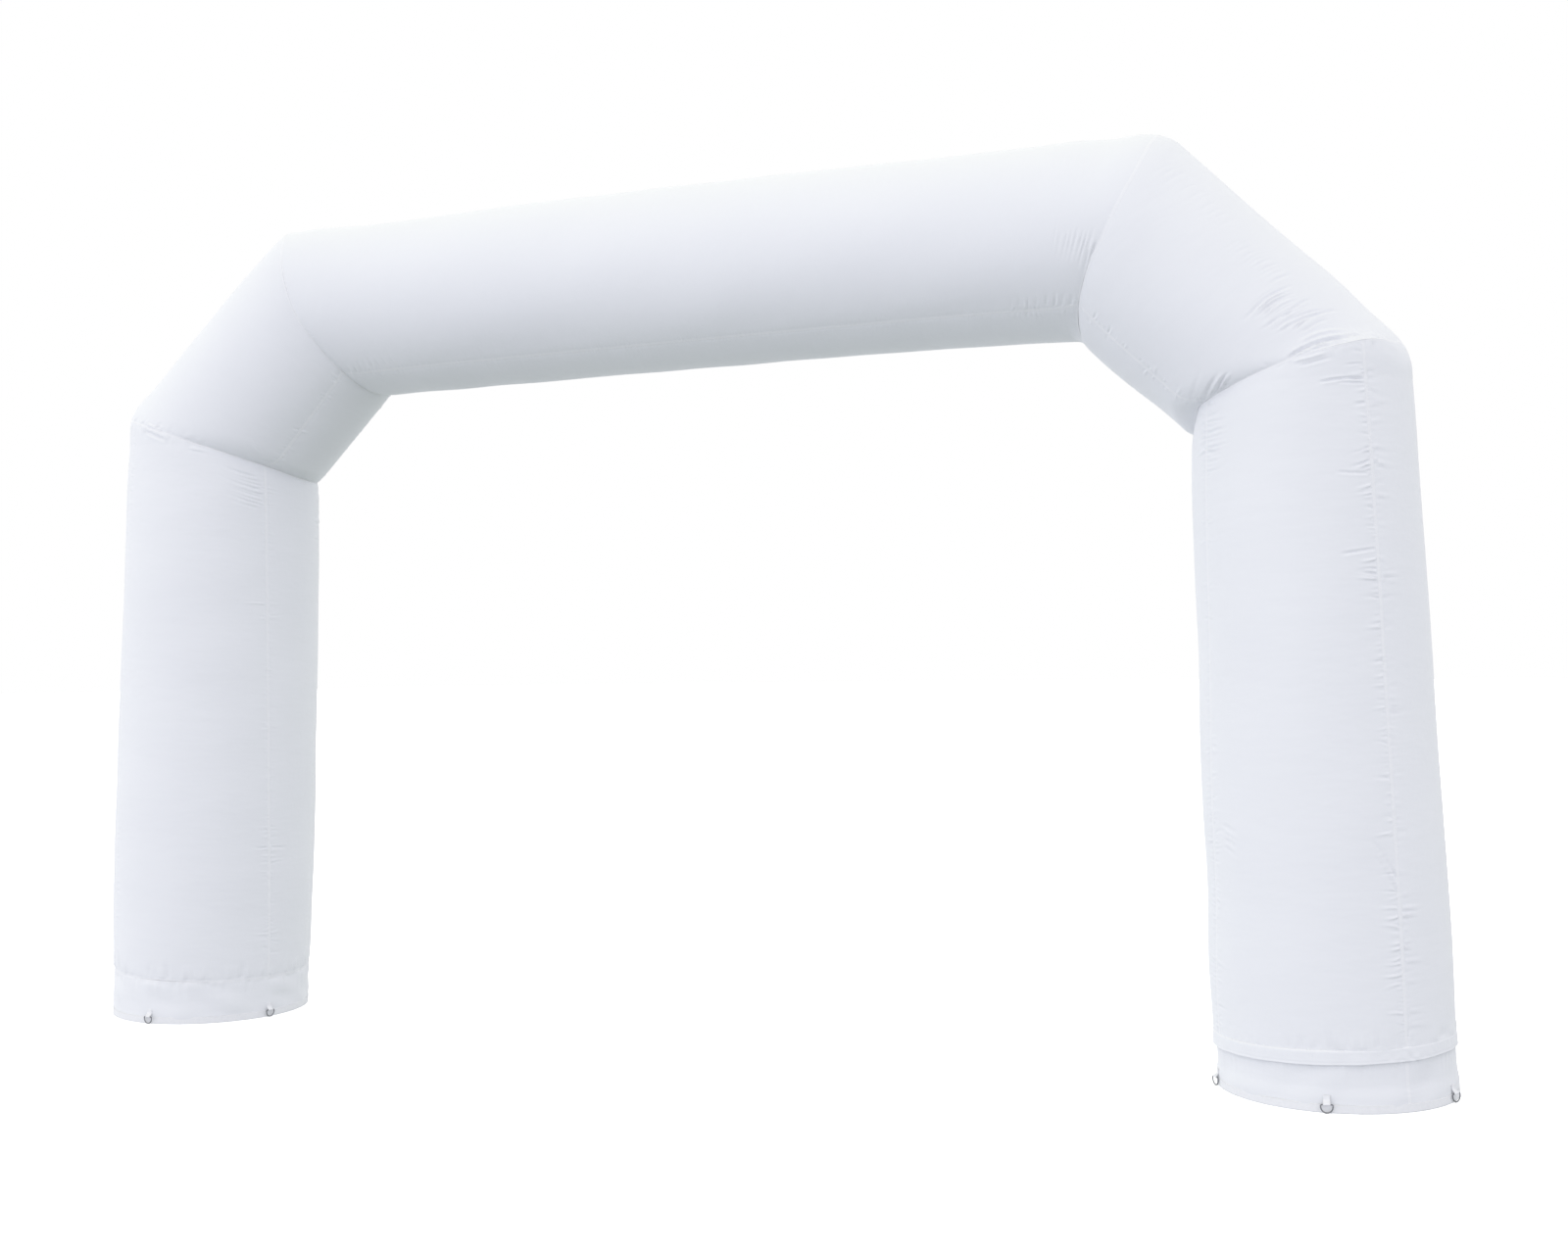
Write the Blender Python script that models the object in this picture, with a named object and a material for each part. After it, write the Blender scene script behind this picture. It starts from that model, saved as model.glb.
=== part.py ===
"""White inflatable arch: two leaning legs, two shoulders and a beam, each a tube of
sewn cloth panels held out by air, on short skirts with a webbing hem and lashing rings.

Metres, +Z up. The origin is on the ground midway between the feet, +X runs along the
span to the right foot, and -Y is the front.
"""

import math
from typing import NamedTuple

import bmesh
import bpy
from mathutils import Matrix, Vector

GAP = 0.0003  # between pieces that are sewn together
CLOTH = 0.002
WELD = 0.00001
FRONT = Vector((0, -1, 0))
UP = Vector((0, 0, 1))
SIDES = {"left": -1, "right": 1}

# The tubes' centre lines.
FOOT_X = 3.147
KNEE_X, KNEE_Z = 3.016, 3.219
CROWN_X, CROWN_Z = 2.225, 3.993

# Tube radii where the pieces meet, and how much each tube swells between them.
FOOT_RADIUS = 0.542
KNEE_RADIUS = 0.516
CROWN_RADIUS = 0.509
LEG_SWELL = 0.018
SHOULDER_SWELL = -0.001
BEAM_SWELL = -0.028
PANEL_CROWN = 0.005  # how far a panel stands out between its seams
CROWN_FADE = 0.2  # over this share of a panel's length at each end

# Seams, in degrees round the tube from the front towards the inner side of the arch.
INNER_SEAM = {  # the front inner seam wanders a little, so each joint has its own angle
    "left": {"foot": 71, "knee": 61, "crown": 57},
    "right": {"foot": 64, "knee": 50, "crown": 48},
}
OUTER_SEAM = -39
TOP_SEAM = -90

# The skirt below each leg.
SKIRT_HEIGHT = 0.235
HEM_INSET = {"left": 0.0008, "right": 0.0036}  # from the foot's radius
WAIST_INSET = {"left": 0.002, "right": 0.009}
TAPE_HEIGHT = 0.038
TAPE_THICKNESS = 0.0015
FLAP_TOP, FLAP_BOTTOM = 0.275, 0.208  # up the right leg
FLAP_STAND = 0.0021  # at the flap's stitched top edge
FLAP_BELLY = 0.002  # how much further it stands out halfway down
FLAP_FLARE = 0.003  # and at its free lower edge

# Lashing rings and their webbing tabs.
RINGS_ROUND_LEG = 5
WIRE_RADIUS = 0.003
RING_HALF_WIDTH = 0.026  # to the middle of the wire
RING_STRAIGHT = 0.010  # from the bar to the middle of the round part
RING_CORNER = 0.006
RING_LOWEST = 0.0008
RING_STAND = 0.015  # from the skirt to the middle of the bar
TWIST = {  # how each ring has turned, in degrees about the vertical
    "left": (-6, 4, -10, 8, 12),
    "right": (5, 18, -8, 9, -18),
}
TAB_WIDTH = 0.032
TAB_THICKNESS = 0.0015
TAB_TOP = 0.078
TAB_SEWN_FROM = 0.058
TAB_TURNED_BY = 0.045  # below this height the webbing has turned as far as its ring
TAB_LOOP = WIRE_RADIUS + 0.0007 + TAB_THICKNESS / 2

# Rows of facets along a piece, as shares of its length.
LEG_ROWS = (0, 0.02, 0.06, 0.15, 0.3, 0.45, 0.6, 0.75, 0.88, 0.96, 1)
SHOULDER_ROWS = (0, 0.12, 0.35, 0.65, 0.88, 1)
BEAM_ROWS = (0, 0.04, 0.12, 0.26, 0.42, 0.58, 0.74, 0.88, 0.96, 1)
HEM_ROW, WAIST_ROWS = 0.38, (0.6, 0.8)  # the skirt is straight up to the first of these
FACET_DEG = 10
RING_FACETS = 40  # round a skirt, so that a corner lies at each lashing ring


class Finish(NamedTuple):
    """How a material looks."""

    color: tuple
    roughness: float
    metallic: float = 0


FINISHES = {
    "white_cloth": Finish((0.86, 0.87, 0.90, 1), 0.55),
    "white_webbing": Finish((0.88, 0.88, 0.89, 1), 0.75),
    "ring_steel": Finish((0.30, 0.31, 0.33, 1), 0.35, 1),
}


class Tube(NamedTuple):
    """A tube of cloth between two planes, which are named by their normals."""

    start: Vector
    end: Vector
    start_plane: Vector
    end_plane: Vector
    start_radius: float
    end_radius: float
    swell: float
    start_seam: float
    end_seam: float

    @property
    def axis(self):
        return (self.end - self.start).normalized()

    @property
    def inward(self):
        """The direction across the tube that faces the middle of the arch."""
        across = self.axis.cross(FRONT)
        middle = Vector((0, 0, KNEE_Z / 2)) - self.start
        return across if across.dot(middle) > 0 else -across

    def outwards(self, degrees):
        """The direction straight out from the axis at this angle."""
        turn = math.radians(degrees)
        return FRONT * math.cos(turn) + self.inward * math.sin(turn)

    def radius(self, along):
        middle = 1 - (2 * along - 1) ** 4
        return mix(self.start_radius, self.end_radius, along) + self.swell * middle

    def place(self, degrees, along, lift):
        """The point at this angle and share of the length, lifted off the cloth's face."""
        outward = self.outwards(degrees)
        radius = self.radius(along) + lift
        first = (GAP / 2 - radius * outward.dot(self.start_plane)) / self.axis.dot(self.start_plane)
        last = (GAP / 2 + radius * outward.dot(self.end_plane)) / self.axis.dot(self.end_plane)
        reach = mix(first, (self.end - self.start).length - last, along)
        return self.start + self.axis * reach + outward * radius


class Edge(NamedTuple):
    """A panel's long edge: a fixed angle plus a share of the inner seam's angle."""

    degrees: float
    of_seam: float = 0

    def angle(self, tube, along):
        return self.degrees + self.of_seam * mix(tube.start_seam, tube.end_seam, along)


FRONT_INNER = Edge(0, 1)
BACK_INNER = Edge(180, -1)
LEG_PANELS = {
    "front": (Edge(OUTER_SEAM), FRONT_INNER),
    "inner": (FRONT_INNER, BACK_INNER),
    "back": (BACK_INNER, Edge(180 - OUTER_SEAM)),
    "outer": (Edge(180 - OUTER_SEAM), Edge(360 + OUTER_SEAM)),
}
ARCH_PANELS = {
    "front": (Edge(TOP_SEAM), FRONT_INNER),
    "under": (FRONT_INNER, BACK_INNER),
    "back": (BACK_INNER, Edge(180 - TOP_SEAM)),
}


def mix(first, last, share):
    return first + (last - first) * share


def smooth(share):
    """A soft step from 0 to 1."""
    share = min(max(share, 0), 1)
    return share * share * (3 - 2 * share)


def material(name):
    """The named finish as a material."""
    if name in bpy.data.materials:
        return bpy.data.materials[name]
    finish = FINISHES[name]
    made = bpy.data.materials.new(name)
    made.use_nodes = True
    shader = made.node_tree.nodes["Principled BSDF"]
    shader.inputs["Base Color"].default_value = finish.color
    shader.inputs["Roughness"].default_value = finish.roughness
    shader.inputs["Metallic"].default_value = finish.metallic
    made.diffuse_color = finish.color
    return made


def add_object(name, data, collection, finish):
    """A new object for this mesh or curve, in its finish."""
    data.materials.append(material(finish))
    made = bpy.data.objects.new(name, data)
    collection.objects.link(made)
    return made


def add_mesh(name, shape, collection, finish):
    """An object from a bmesh, shaded smooth between its facets, with its faces outwards."""
    bmesh.ops.recalc_face_normals(shape, faces=shape.faces)
    if shape.calc_volume(signed=True) < 0:
        bmesh.ops.reverse_faces(shape, faces=shape.faces)
    mesh = bpy.data.meshes.new(name)
    shape.to_mesh(mesh)
    shape.free()
    mesh.shade_smooth()
    mesh.set_sharp_from_angle(angle=math.radians(40))
    return add_object(name, mesh, collection, finish)


def cut_of_cloth(columns, rows, place, joined=False):
    """A rectangular cut with thickness, laid where place(across, row, depth) says.

    across runs from 0 to 1, row is the row's number, and depth is 0 on the outer face
    and 1 on the inner face. A joined cut closes on itself as a band.
    """
    shape = bmesh.new()
    bmesh.ops.create_grid(shape, x_segments=columns, y_segments=rows, size=0.5)
    thick = bmesh.ops.extrude_face_region(shape, geom=shape.faces[:])
    inner = [part for part in thick["geom"] if isinstance(part, bmesh.types.BMVert)]
    bmesh.ops.translate(shape, verts=inner, vec=UP)
    if joined:
        ends = [face for face in shape.faces if abs(face.normal.x) > 0.5]
        bmesh.ops.delete(shape, geom=ends, context="FACES_ONLY")
    for point in shape.verts:
        across = point.co.x + 0.5
        row = round((point.co.y + 0.5) * rows)
        point.co = place(across, row, point.co.z)
    if joined:
        bmesh.ops.remove_doubles(shape, verts=shape.verts, dist=WELD)
    return shape


def add_panel(name, tube, edges, rows, collection):
    """One sewn panel of a tube, crowned a little between its two long edges."""
    first, last = edges
    columns = math.ceil((last.angle(tube, 0) - first.angle(tube, 0)) / FACET_DEG)

    def place(across, row, depth):
        along = rows[row]
        seam_gap = math.degrees(GAP / 2 / tube.radius(along))
        angle = mix(first.angle(tube, along) + seam_gap, last.angle(tube, along) - seam_gap, across)
        fade = smooth(along / CROWN_FADE) * smooth((1 - along) / CROWN_FADE)
        crown = PANEL_CROWN * (1 - (2 * across - 1) ** 2) * fade
        return tube.place(angle, along, crown - CLOTH * depth)

    add_mesh(name, cut_of_cloth(columns, len(rows) - 1, place), collection, "white_cloth")


def add_band(name, tube, rows, thickness, finish, collection):
    """A band all the way round a tube. rows holds (share of the length, lift) pairs."""

    def place(across, row, depth):
        along, lift = rows[row]
        return tube.place(360 * across, along, lift - thickness * depth)

    band = cut_of_cloth(RING_FACETS, len(rows) - 1, place, joined=True)
    add_mesh(name, band, collection, finish)


def bisector(first, last):
    """The normal of the mitre plane between two runs of tube."""
    return (first.normalized() + last.normalized()).normalized()


def joints(side):
    """The foot, knee and crown of one side's centre line."""
    return (
        Vector((side * FOOT_X, 0, 0)),
        Vector((side * KNEE_X, 0, KNEE_Z)),
        Vector((side * CROWN_X, 0, CROWN_Z)),
    )


def leg_and_shoulder(word):
    """The two tubes of one side."""
    side, seam = SIDES[word], INNER_SEAM[word]
    foot, knee, crown = joints(side)
    up_leg = (knee - foot).normalized()
    up_shoulder = (crown - knee).normalized()
    knee_plane = bisector(up_leg, up_shoulder)
    crown_plane = bisector(up_shoulder, Vector((-side, 0, 0)))
    leg = Tube(
        foot + up_leg * SKIRT_HEIGHT, knee, up_leg, knee_plane,
        FOOT_RADIUS, KNEE_RADIUS, LEG_SWELL, seam["foot"], seam["knee"],
    )
    shoulder = Tube(
        knee, crown, knee_plane, crown_plane,
        KNEE_RADIUS, CROWN_RADIUS, SHOULDER_SWELL, seam["knee"], seam["crown"],
    )
    return leg, shoulder


def add_beam(crown_planes, collection):
    """The beam across the top, in its three panels."""
    left, right = joints(-1)[2], joints(1)[2]
    beam = Tube(
        left, right, crown_planes["left"], -crown_planes["right"], CROWN_RADIUS, CROWN_RADIUS,
        BEAM_SWELL, INNER_SEAM["left"]["crown"], INNER_SEAM["right"]["crown"],
    )
    for panel, edges in ARCH_PANELS.items():
        add_panel(f"beam_{panel}", beam, edges, BEAM_ROWS, collection)


def skirt_tube(word, leg):
    """The tube that one leg's skirt lies on."""
    ground = joints(SIDES[word])[0] - UP * GAP / 2
    return Tube(ground, leg.start, UP, leg.axis, FOOT_RADIUS, FOOT_RADIUS, 0, 0, 0)


def add_foot(word, skirt, collection):
    """A leg's skirt, hem tape and floor."""
    hem, waist = -HEM_INSET[word], -WAIST_INSET[word]
    rows = ((0, hem), (HEM_ROW, hem), *((row, waist) for row in WAIST_ROWS), (1, 0))
    add_band(f"skirt_{word}", skirt, rows, CLOTH, "white_cloth", collection)

    top = skirt.start + skirt.axis * (TAPE_HEIGHT + GAP) / skirt.axis.z
    lift = hem + GAP + TAPE_THICKNESS
    tape = skirt._replace(end=top, end_plane=UP)
    name = f"hem_tape_{word}"
    add_band(name, tape, ((0, lift), (1, lift)), TAPE_THICKNESS, "white_webbing", collection)

    radius = FOOT_RADIUS + hem - CLOTH - GAP
    floor = bmesh.new()
    bmesh.ops.create_cone(
        floor, cap_ends=True, segments=RING_FACETS, radius1=radius, radius2=radius, depth=CLOTH
    )
    bmesh.ops.translate(floor, verts=floor.verts, vec=skirt.start + UP * (CLOTH + GAP) / 2)
    add_mesh(f"floor_{word}", floor, collection, "white_cloth")


def add_flap(leg, collection):
    """The turned-down strip that covers the join of the right leg and its skirt."""
    length = (leg.end - leg.start).length
    low, high = ((height - SKIRT_HEIGHT) / length for height in (FLAP_BOTTOM, FLAP_TOP))
    stitched = FLAP_STAND + CLOTH
    middle = mix(low, high, 0.5), stitched + FLAP_BELLY
    rows = ((low, stitched + FLAP_FLARE), middle, (high, stitched))
    add_band("flap_right", leg, rows, CLOTH, "white_cloth", collection)


def ring_outline():
    """The middle of the wire of a D ring: its bar lies on the X axis and it hangs to -Y."""
    bar_half = RING_HALF_WIDTH - RING_CORNER
    points = []
    for turn in (90, 45, 0):
        angle = math.radians(turn)
        points.append((bar_half + RING_CORNER * math.cos(angle), RING_CORNER * (math.sin(angle) - 1)))
    for turn in range(0, -181, -20):
        angle = math.radians(turn)
        points.append(
            (RING_HALF_WIDTH * math.cos(angle), RING_HALF_WIDTH * math.sin(angle) - RING_STRAIGHT)
        )
    points += [(-x, y) for x, y in reversed(points[:3])]
    return points


def add_ring(name, frame, twist, collection):
    """A lashing ring hanging on its bar. frame's X runs across it and its Y points outwards."""
    curve = bpy.data.curves.new(name, "CURVE")
    curve.dimensions = "3D"
    curve.bevel_depth = WIRE_RADIUS
    curve.bevel_resolution = 2
    outline = ring_outline()
    wire = curve.splines.new("POLY")
    wire.points.add(len(outline) - 1)
    wire.use_cyclic_u = True
    for point, (x, y) in zip(wire.points, outline, strict=True):
        point.co = (x, 0, y, 1)
    ring = add_object(name, curve, collection, "ring_steel")
    stand = Matrix.Translation((0, RING_STAND, bar_height()))
    ring.matrix_world = frame @ stand @ Matrix.Rotation(twist, 4, "Z")


def bar_height():
    """The height of the middle of a ring's bar when the ring touches the ground."""
    return RING_LOWEST + WIRE_RADIUS + RING_HALF_WIDTH + RING_STRAIGHT


def tab_route():
    """The middle of a tab's webbing, as (outwards, up) points: down, round the bar and up."""
    back = GAP + TAB_THICKNESS / 2
    front = back + TAB_THICKNESS + GAP
    loop = []
    for turn in range(150, 391, 30):
        angle = math.radians(turn)
        outwards = RING_STAND + TAB_LOOP * math.cos(angle)
        loop.append((outwards, bar_height() + TAB_LOOP * math.sin(angle)))
    return [(back, TAB_TOP), (back, TAB_SEWN_FROM), *loop, (front, TAB_SEWN_FROM), (front, TAB_TOP)]


def add_tab(name, frame, twist, collection):
    """A folded length of webbing that holds a ring's bar. Its loop turns with the ring."""
    route = [Vector(point) for point in tab_route()]

    def sideways(row):
        """The webbing's normal at a point of the route, long enough to keep its thickness."""
        before = (route[row] - route[max(row - 1, 0)]).normalized()
        after = (route[min(row + 1, len(route) - 1)] - route[row]).normalized()
        run = (before + after).normalized()
        keep = max(run.dot(before), run.dot(after))
        return Vector((run.y, -run.x)) / keep

    def place(across, row, depth):
        outwards, up = route[row] + sideways(row) * TAB_THICKNESS * (depth - 0.5)
        point = Vector(((across - 0.5) * TAB_WIDTH, outwards, up))
        turn = twist * smooth((TAB_SEWN_FROM - up) / (TAB_SEWN_FROM - TAB_TURNED_BY))
        pivot = Vector((0, RING_STAND, 0))
        return frame @ (pivot + Matrix.Rotation(turn, 3, "Z") @ (point - pivot))

    add_mesh(name, cut_of_cloth(4, len(route) - 1, place), collection, "white_webbing")


def add_rings(word, skirt, collection):
    """The lashing rings round one foot, the first at the front, with their tabs."""
    for number, twist in enumerate(TWIST[word]):
        degrees = 360 / RINGS_ROUND_LEG * number
        outwards = skirt.outwards(degrees)
        across = outwards.cross(skirt.axis)
        frame = Matrix.Translation(skirt.place(degrees, 0, -HEM_INSET[word]))
        frame = frame @ Matrix((across, outwards, skirt.axis)).transposed().to_4x4()
        add_ring(f"ring_{word}_{number + 1}", frame, math.radians(twist), collection)
        add_tab(f"tab_{word}_{number + 1}", frame, math.radians(twist), collection)


def build():
    """The whole arch."""
    for old in list(bpy.data.objects):
        bpy.data.objects.remove(old)
    collection = bpy.data.collections.new("inflatable_arch")
    bpy.context.scene.collection.children.link(collection)
    crown_planes = {}
    for word in SIDES:
        leg, shoulder = leg_and_shoulder(word)
        crown_planes[word] = shoulder.end_plane
        for panel, edges in LEG_PANELS.items():
            add_panel(f"leg_{word}_{panel}", leg, edges, LEG_ROWS, collection)
        for panel, edges in ARCH_PANELS.items():
            add_panel(f"shoulder_{word}_{panel}", shoulder, edges, SHOULDER_ROWS, collection)
        skirt = skirt_tube(word, leg)
        add_foot(word, skirt, collection)
        add_rings(word, skirt, collection)
        if word == "right":
            add_flap(leg, collection)
    add_beam(crown_planes, collection)


build()
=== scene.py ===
"""Looks of a white inflatable arch: sewn cloth tubes on short skirts, with lashing rings.

Metres, +Z up. +X runs along the span to the right foot, and -Y is the front. A place on a
tube is an angle round it, in degrees from the front towards the inner side of the arch,
and a reach along its axis.
"""

from __future__ import annotations

import logging
import math
from collections.abc import Callable, Iterable, Iterator
from contextlib import contextmanager
from dataclasses import dataclass, replace
from enum import Enum
from functools import cached_property

import bmesh
import bpy
import numpy as np
from mathutils import Matrix, Vector

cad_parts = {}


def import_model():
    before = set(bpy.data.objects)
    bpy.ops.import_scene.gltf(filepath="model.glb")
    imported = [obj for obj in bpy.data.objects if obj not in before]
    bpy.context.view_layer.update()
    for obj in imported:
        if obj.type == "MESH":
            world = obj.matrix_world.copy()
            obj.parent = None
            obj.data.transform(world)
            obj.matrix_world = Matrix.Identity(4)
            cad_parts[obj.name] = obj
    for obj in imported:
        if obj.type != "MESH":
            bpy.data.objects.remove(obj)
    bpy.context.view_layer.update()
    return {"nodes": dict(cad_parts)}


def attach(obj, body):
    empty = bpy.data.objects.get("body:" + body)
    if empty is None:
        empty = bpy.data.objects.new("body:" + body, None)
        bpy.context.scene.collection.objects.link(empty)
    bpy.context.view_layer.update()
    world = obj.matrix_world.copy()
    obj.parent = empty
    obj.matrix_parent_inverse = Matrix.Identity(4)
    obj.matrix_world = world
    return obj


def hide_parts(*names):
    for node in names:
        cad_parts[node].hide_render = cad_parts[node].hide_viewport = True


Array = np.ndarray
Place = Callable[[Array, Array], "Laid"]
Point = tuple[float, float, float]
Colour = tuple[float, float, float]
Piece = bpy.types.Object
Material = bpy.types.Material
Socket = bpy.types.NodeSocket
Value = Socket | float | tuple[float, ...]

LOG = logging.getLogger("inflatable_arch")
BODY = "root"
FRONT = np.array((0.0, -1.0, 0.0))
UP = np.array((0.0, 0.0, 1.0))
PIECE_GAP = 0.0003  # between pieces that lie on each other
WHOLE_TURN = 2.0 * math.pi
FAR = 1.0  # the distance from a seam where a piece has none
MERGE_WITHIN = 0.00001
UNEVEN_SPACING = (0.45, 1.6)  # the least and greatest share of the mean spacing
FACES_TRIED = 400
FOLD_REACH = 3.0  # how many widths away a fold is flat
FOLD_SIDES = 1.5  # how deep the creases beside a ridge are


class Side(Enum):
    """A side of the arch, as the sign of its X."""

    LEFT = -1
    RIGHT = 1

    @property
    def word(self) -> str:
        """The side's name in the names of its pieces."""
        return self.name.lower()


class Slot(Enum):
    """The material slots of the record."""

    CLOTH = "white_cloth"
    WEBBING = "white_webbing"
    STEEL = "ring_steel"


def mix(first: Array | float, last: Array | float, share: Array | float) -> Array | float:
    """The value at this share of the way from first to last."""
    return first + (last - first) * share


def soft_step(share: Array | float) -> Array:
    """A smooth rise from 0 to 1 while share goes from 0 to 1."""
    share = np.clip(share, 0.0, 1.0)
    return share * share * (3.0 - 2.0 * share)


@dataclass(frozen=True)
class Waves:
    """Smooth unevenness: a sum of sine waves with seeded directions and phases."""

    seed: int
    length: float
    count: int = 7

    def at(self, x: Array, y: Array | float = 0.0) -> Array:
        """The unevenness at places in metres.

        Args:
            x: first coordinate.
            y: second coordinate.

        Returns:
            Values that mostly lie between -1 and 1.
        """
        chance = np.random.default_rng(self.seed)
        total = np.zeros(np.broadcast(x, y).shape)
        for _ in range(self.count):
            heading = chance.uniform(0.0, math.pi)
            number = WHOLE_TURN / (self.length * chance.uniform(0.7, 1.5))
            phase = chance.uniform(0.0, WHOLE_TURN)
            total += np.sin(number * (x * math.cos(heading) + y * math.sin(heading)) + phase)
        return total / math.sqrt(self.count)


@dataclass(frozen=True)
class Ring:
    """A quantity that varies smoothly round a tube, from values at a few angles."""

    stations: tuple[tuple[float, float], ...]

    def at(self, angle: Array) -> Array:
        """The quantity at these angles.

        Args:
            angle: angles in degrees.

        Returns:
            The values, by a closed cubic through the stations.
        """
        angles = np.array([station[0] for station in self.stations])
        values = np.array([station[1] for station in self.stations])
        spans = np.diff(np.append(angles, angles[0] + 360.0))
        rises = np.diff(np.append(values, values[0])) / spans
        slopes = (rises + np.roll(rises, 1)) / 2.0
        turned = (np.asarray(angle) - angles[0]) % 360.0 + angles[0]
        here = np.clip(np.searchsorted(angles, turned, side="right") - 1, 0, len(angles) - 1)
        there = (here + 1) % len(angles)
        share = (turned - angles[here]) / spans[here]
        square, cube = share**2, share**3
        return (
            values[here] * (2 * cube - 3 * square + 1)
            + values[there] * (3 * square - 2 * cube)
            + spans[here] * (slopes[here] * (cube - 2 * square + share) + slopes[there] * (cube - square))
        )


def mirrored(*front: tuple[float, float]) -> Ring:
    """A Ring that is the same front and back.

    Args:
        front: (angle, value) pairs from -90, the outer side, to 90, the inner side.

    Returns:
        The Ring, with the pairs repeated behind.
    """
    back = [(180.0 - angle, value) for angle, value in reversed(front[1:-1])]
    return Ring((*front, *back))


@dataclass(frozen=True)
class Bulge:
    """A broad place where a tube stands fuller, or slacker if the height is negative."""

    angle: float
    reach: float
    height: float
    angle_width: float
    reach_width: float

    def at(self, angle: Array, reach: Array) -> Array:
        """The bulge's height at these angles and reaches."""
        aside = ((angle - self.angle + 180.0) % 360.0 - 180.0) / self.angle_width
        return self.height * np.exp(-(aside**2) - ((reach - self.reach) / self.reach_width) ** 2)


@dataclass(frozen=True)
class Tube:
    """One straight run of the arch, as a centre line and a radius."""

    start: Point
    end: Point
    start_radius: float
    end_radius: float
    swell: float = 0.0
    bulges: tuple[Bulge, ...] = ()

    @cached_property
    def length(self) -> float:
        """The length of the centre line."""
        return math.dist(self.start, self.end)

    @cached_property
    def axis(self) -> Array:
        """The direction of the centre line."""
        return (np.array(self.end) - np.array(self.start)) / self.length

    @cached_property
    def inward(self) -> Array:
        """The direction across the tube that faces the middle of the arch.

        Returns:
            A unit vector.
        """
        across = np.cross(self.axis, FRONT)
        middle = np.array((0.0, 0.0, CentreLine.knee_z / 2)) - np.array(self.start)
        return across if across @ middle > 0 else -across

    def radius(self, angle: Array, reach: Array) -> Array:
        """The tube's radius at these angles and reaches.

        Args:
            angle: angles round the tube.
            reach: reaches along it.

        Returns:
            The radii, with swell and bulges.
        """
        along = np.clip(reach / self.length, 0.0, 1.0)
        radius = mix(self.start_radius, self.end_radius, along) + self.swell * (1 - (2 * along - 1) ** 4)
        return radius + sum(bulge.at(angle, reach) for bulge in self.bulges)

    def outward(self, angle: Array) -> Array:
        """The unit vectors straight out from the axis at these angles."""
        turn = np.radians(angle)[..., None]
        return FRONT * np.cos(turn) + self.inward * np.sin(turn)

    def point(self, angle: Array, reach: Array, radius: Array) -> Array:
        """World points from angles, reaches and radii."""
        reach, radius = np.asarray(reach)[..., None], np.asarray(radius)[..., None]
        return np.array(self.start) + self.axis * reach + self.outward(angle) * radius

    def locate(self, points: Array, near: Array) -> tuple[Array, Array, Array]:
        """The angles, reaches and radii of world points.

        Args:
            points: world points.
            near: angles that the results are within half a turn of.

        Returns:
            Angles, reaches and radii.
        """
        rest = points - np.array(self.start)
        reach = rest @ self.axis
        rest = rest - self.axis * reach[..., None]
        angle = np.degrees(np.arctan2(rest @ self.inward, rest @ FRONT))
        angle = angle + 360.0 * np.round((near - angle) / 360.0)
        return angle, reach, np.linalg.norm(rest, axis=-1)


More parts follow.
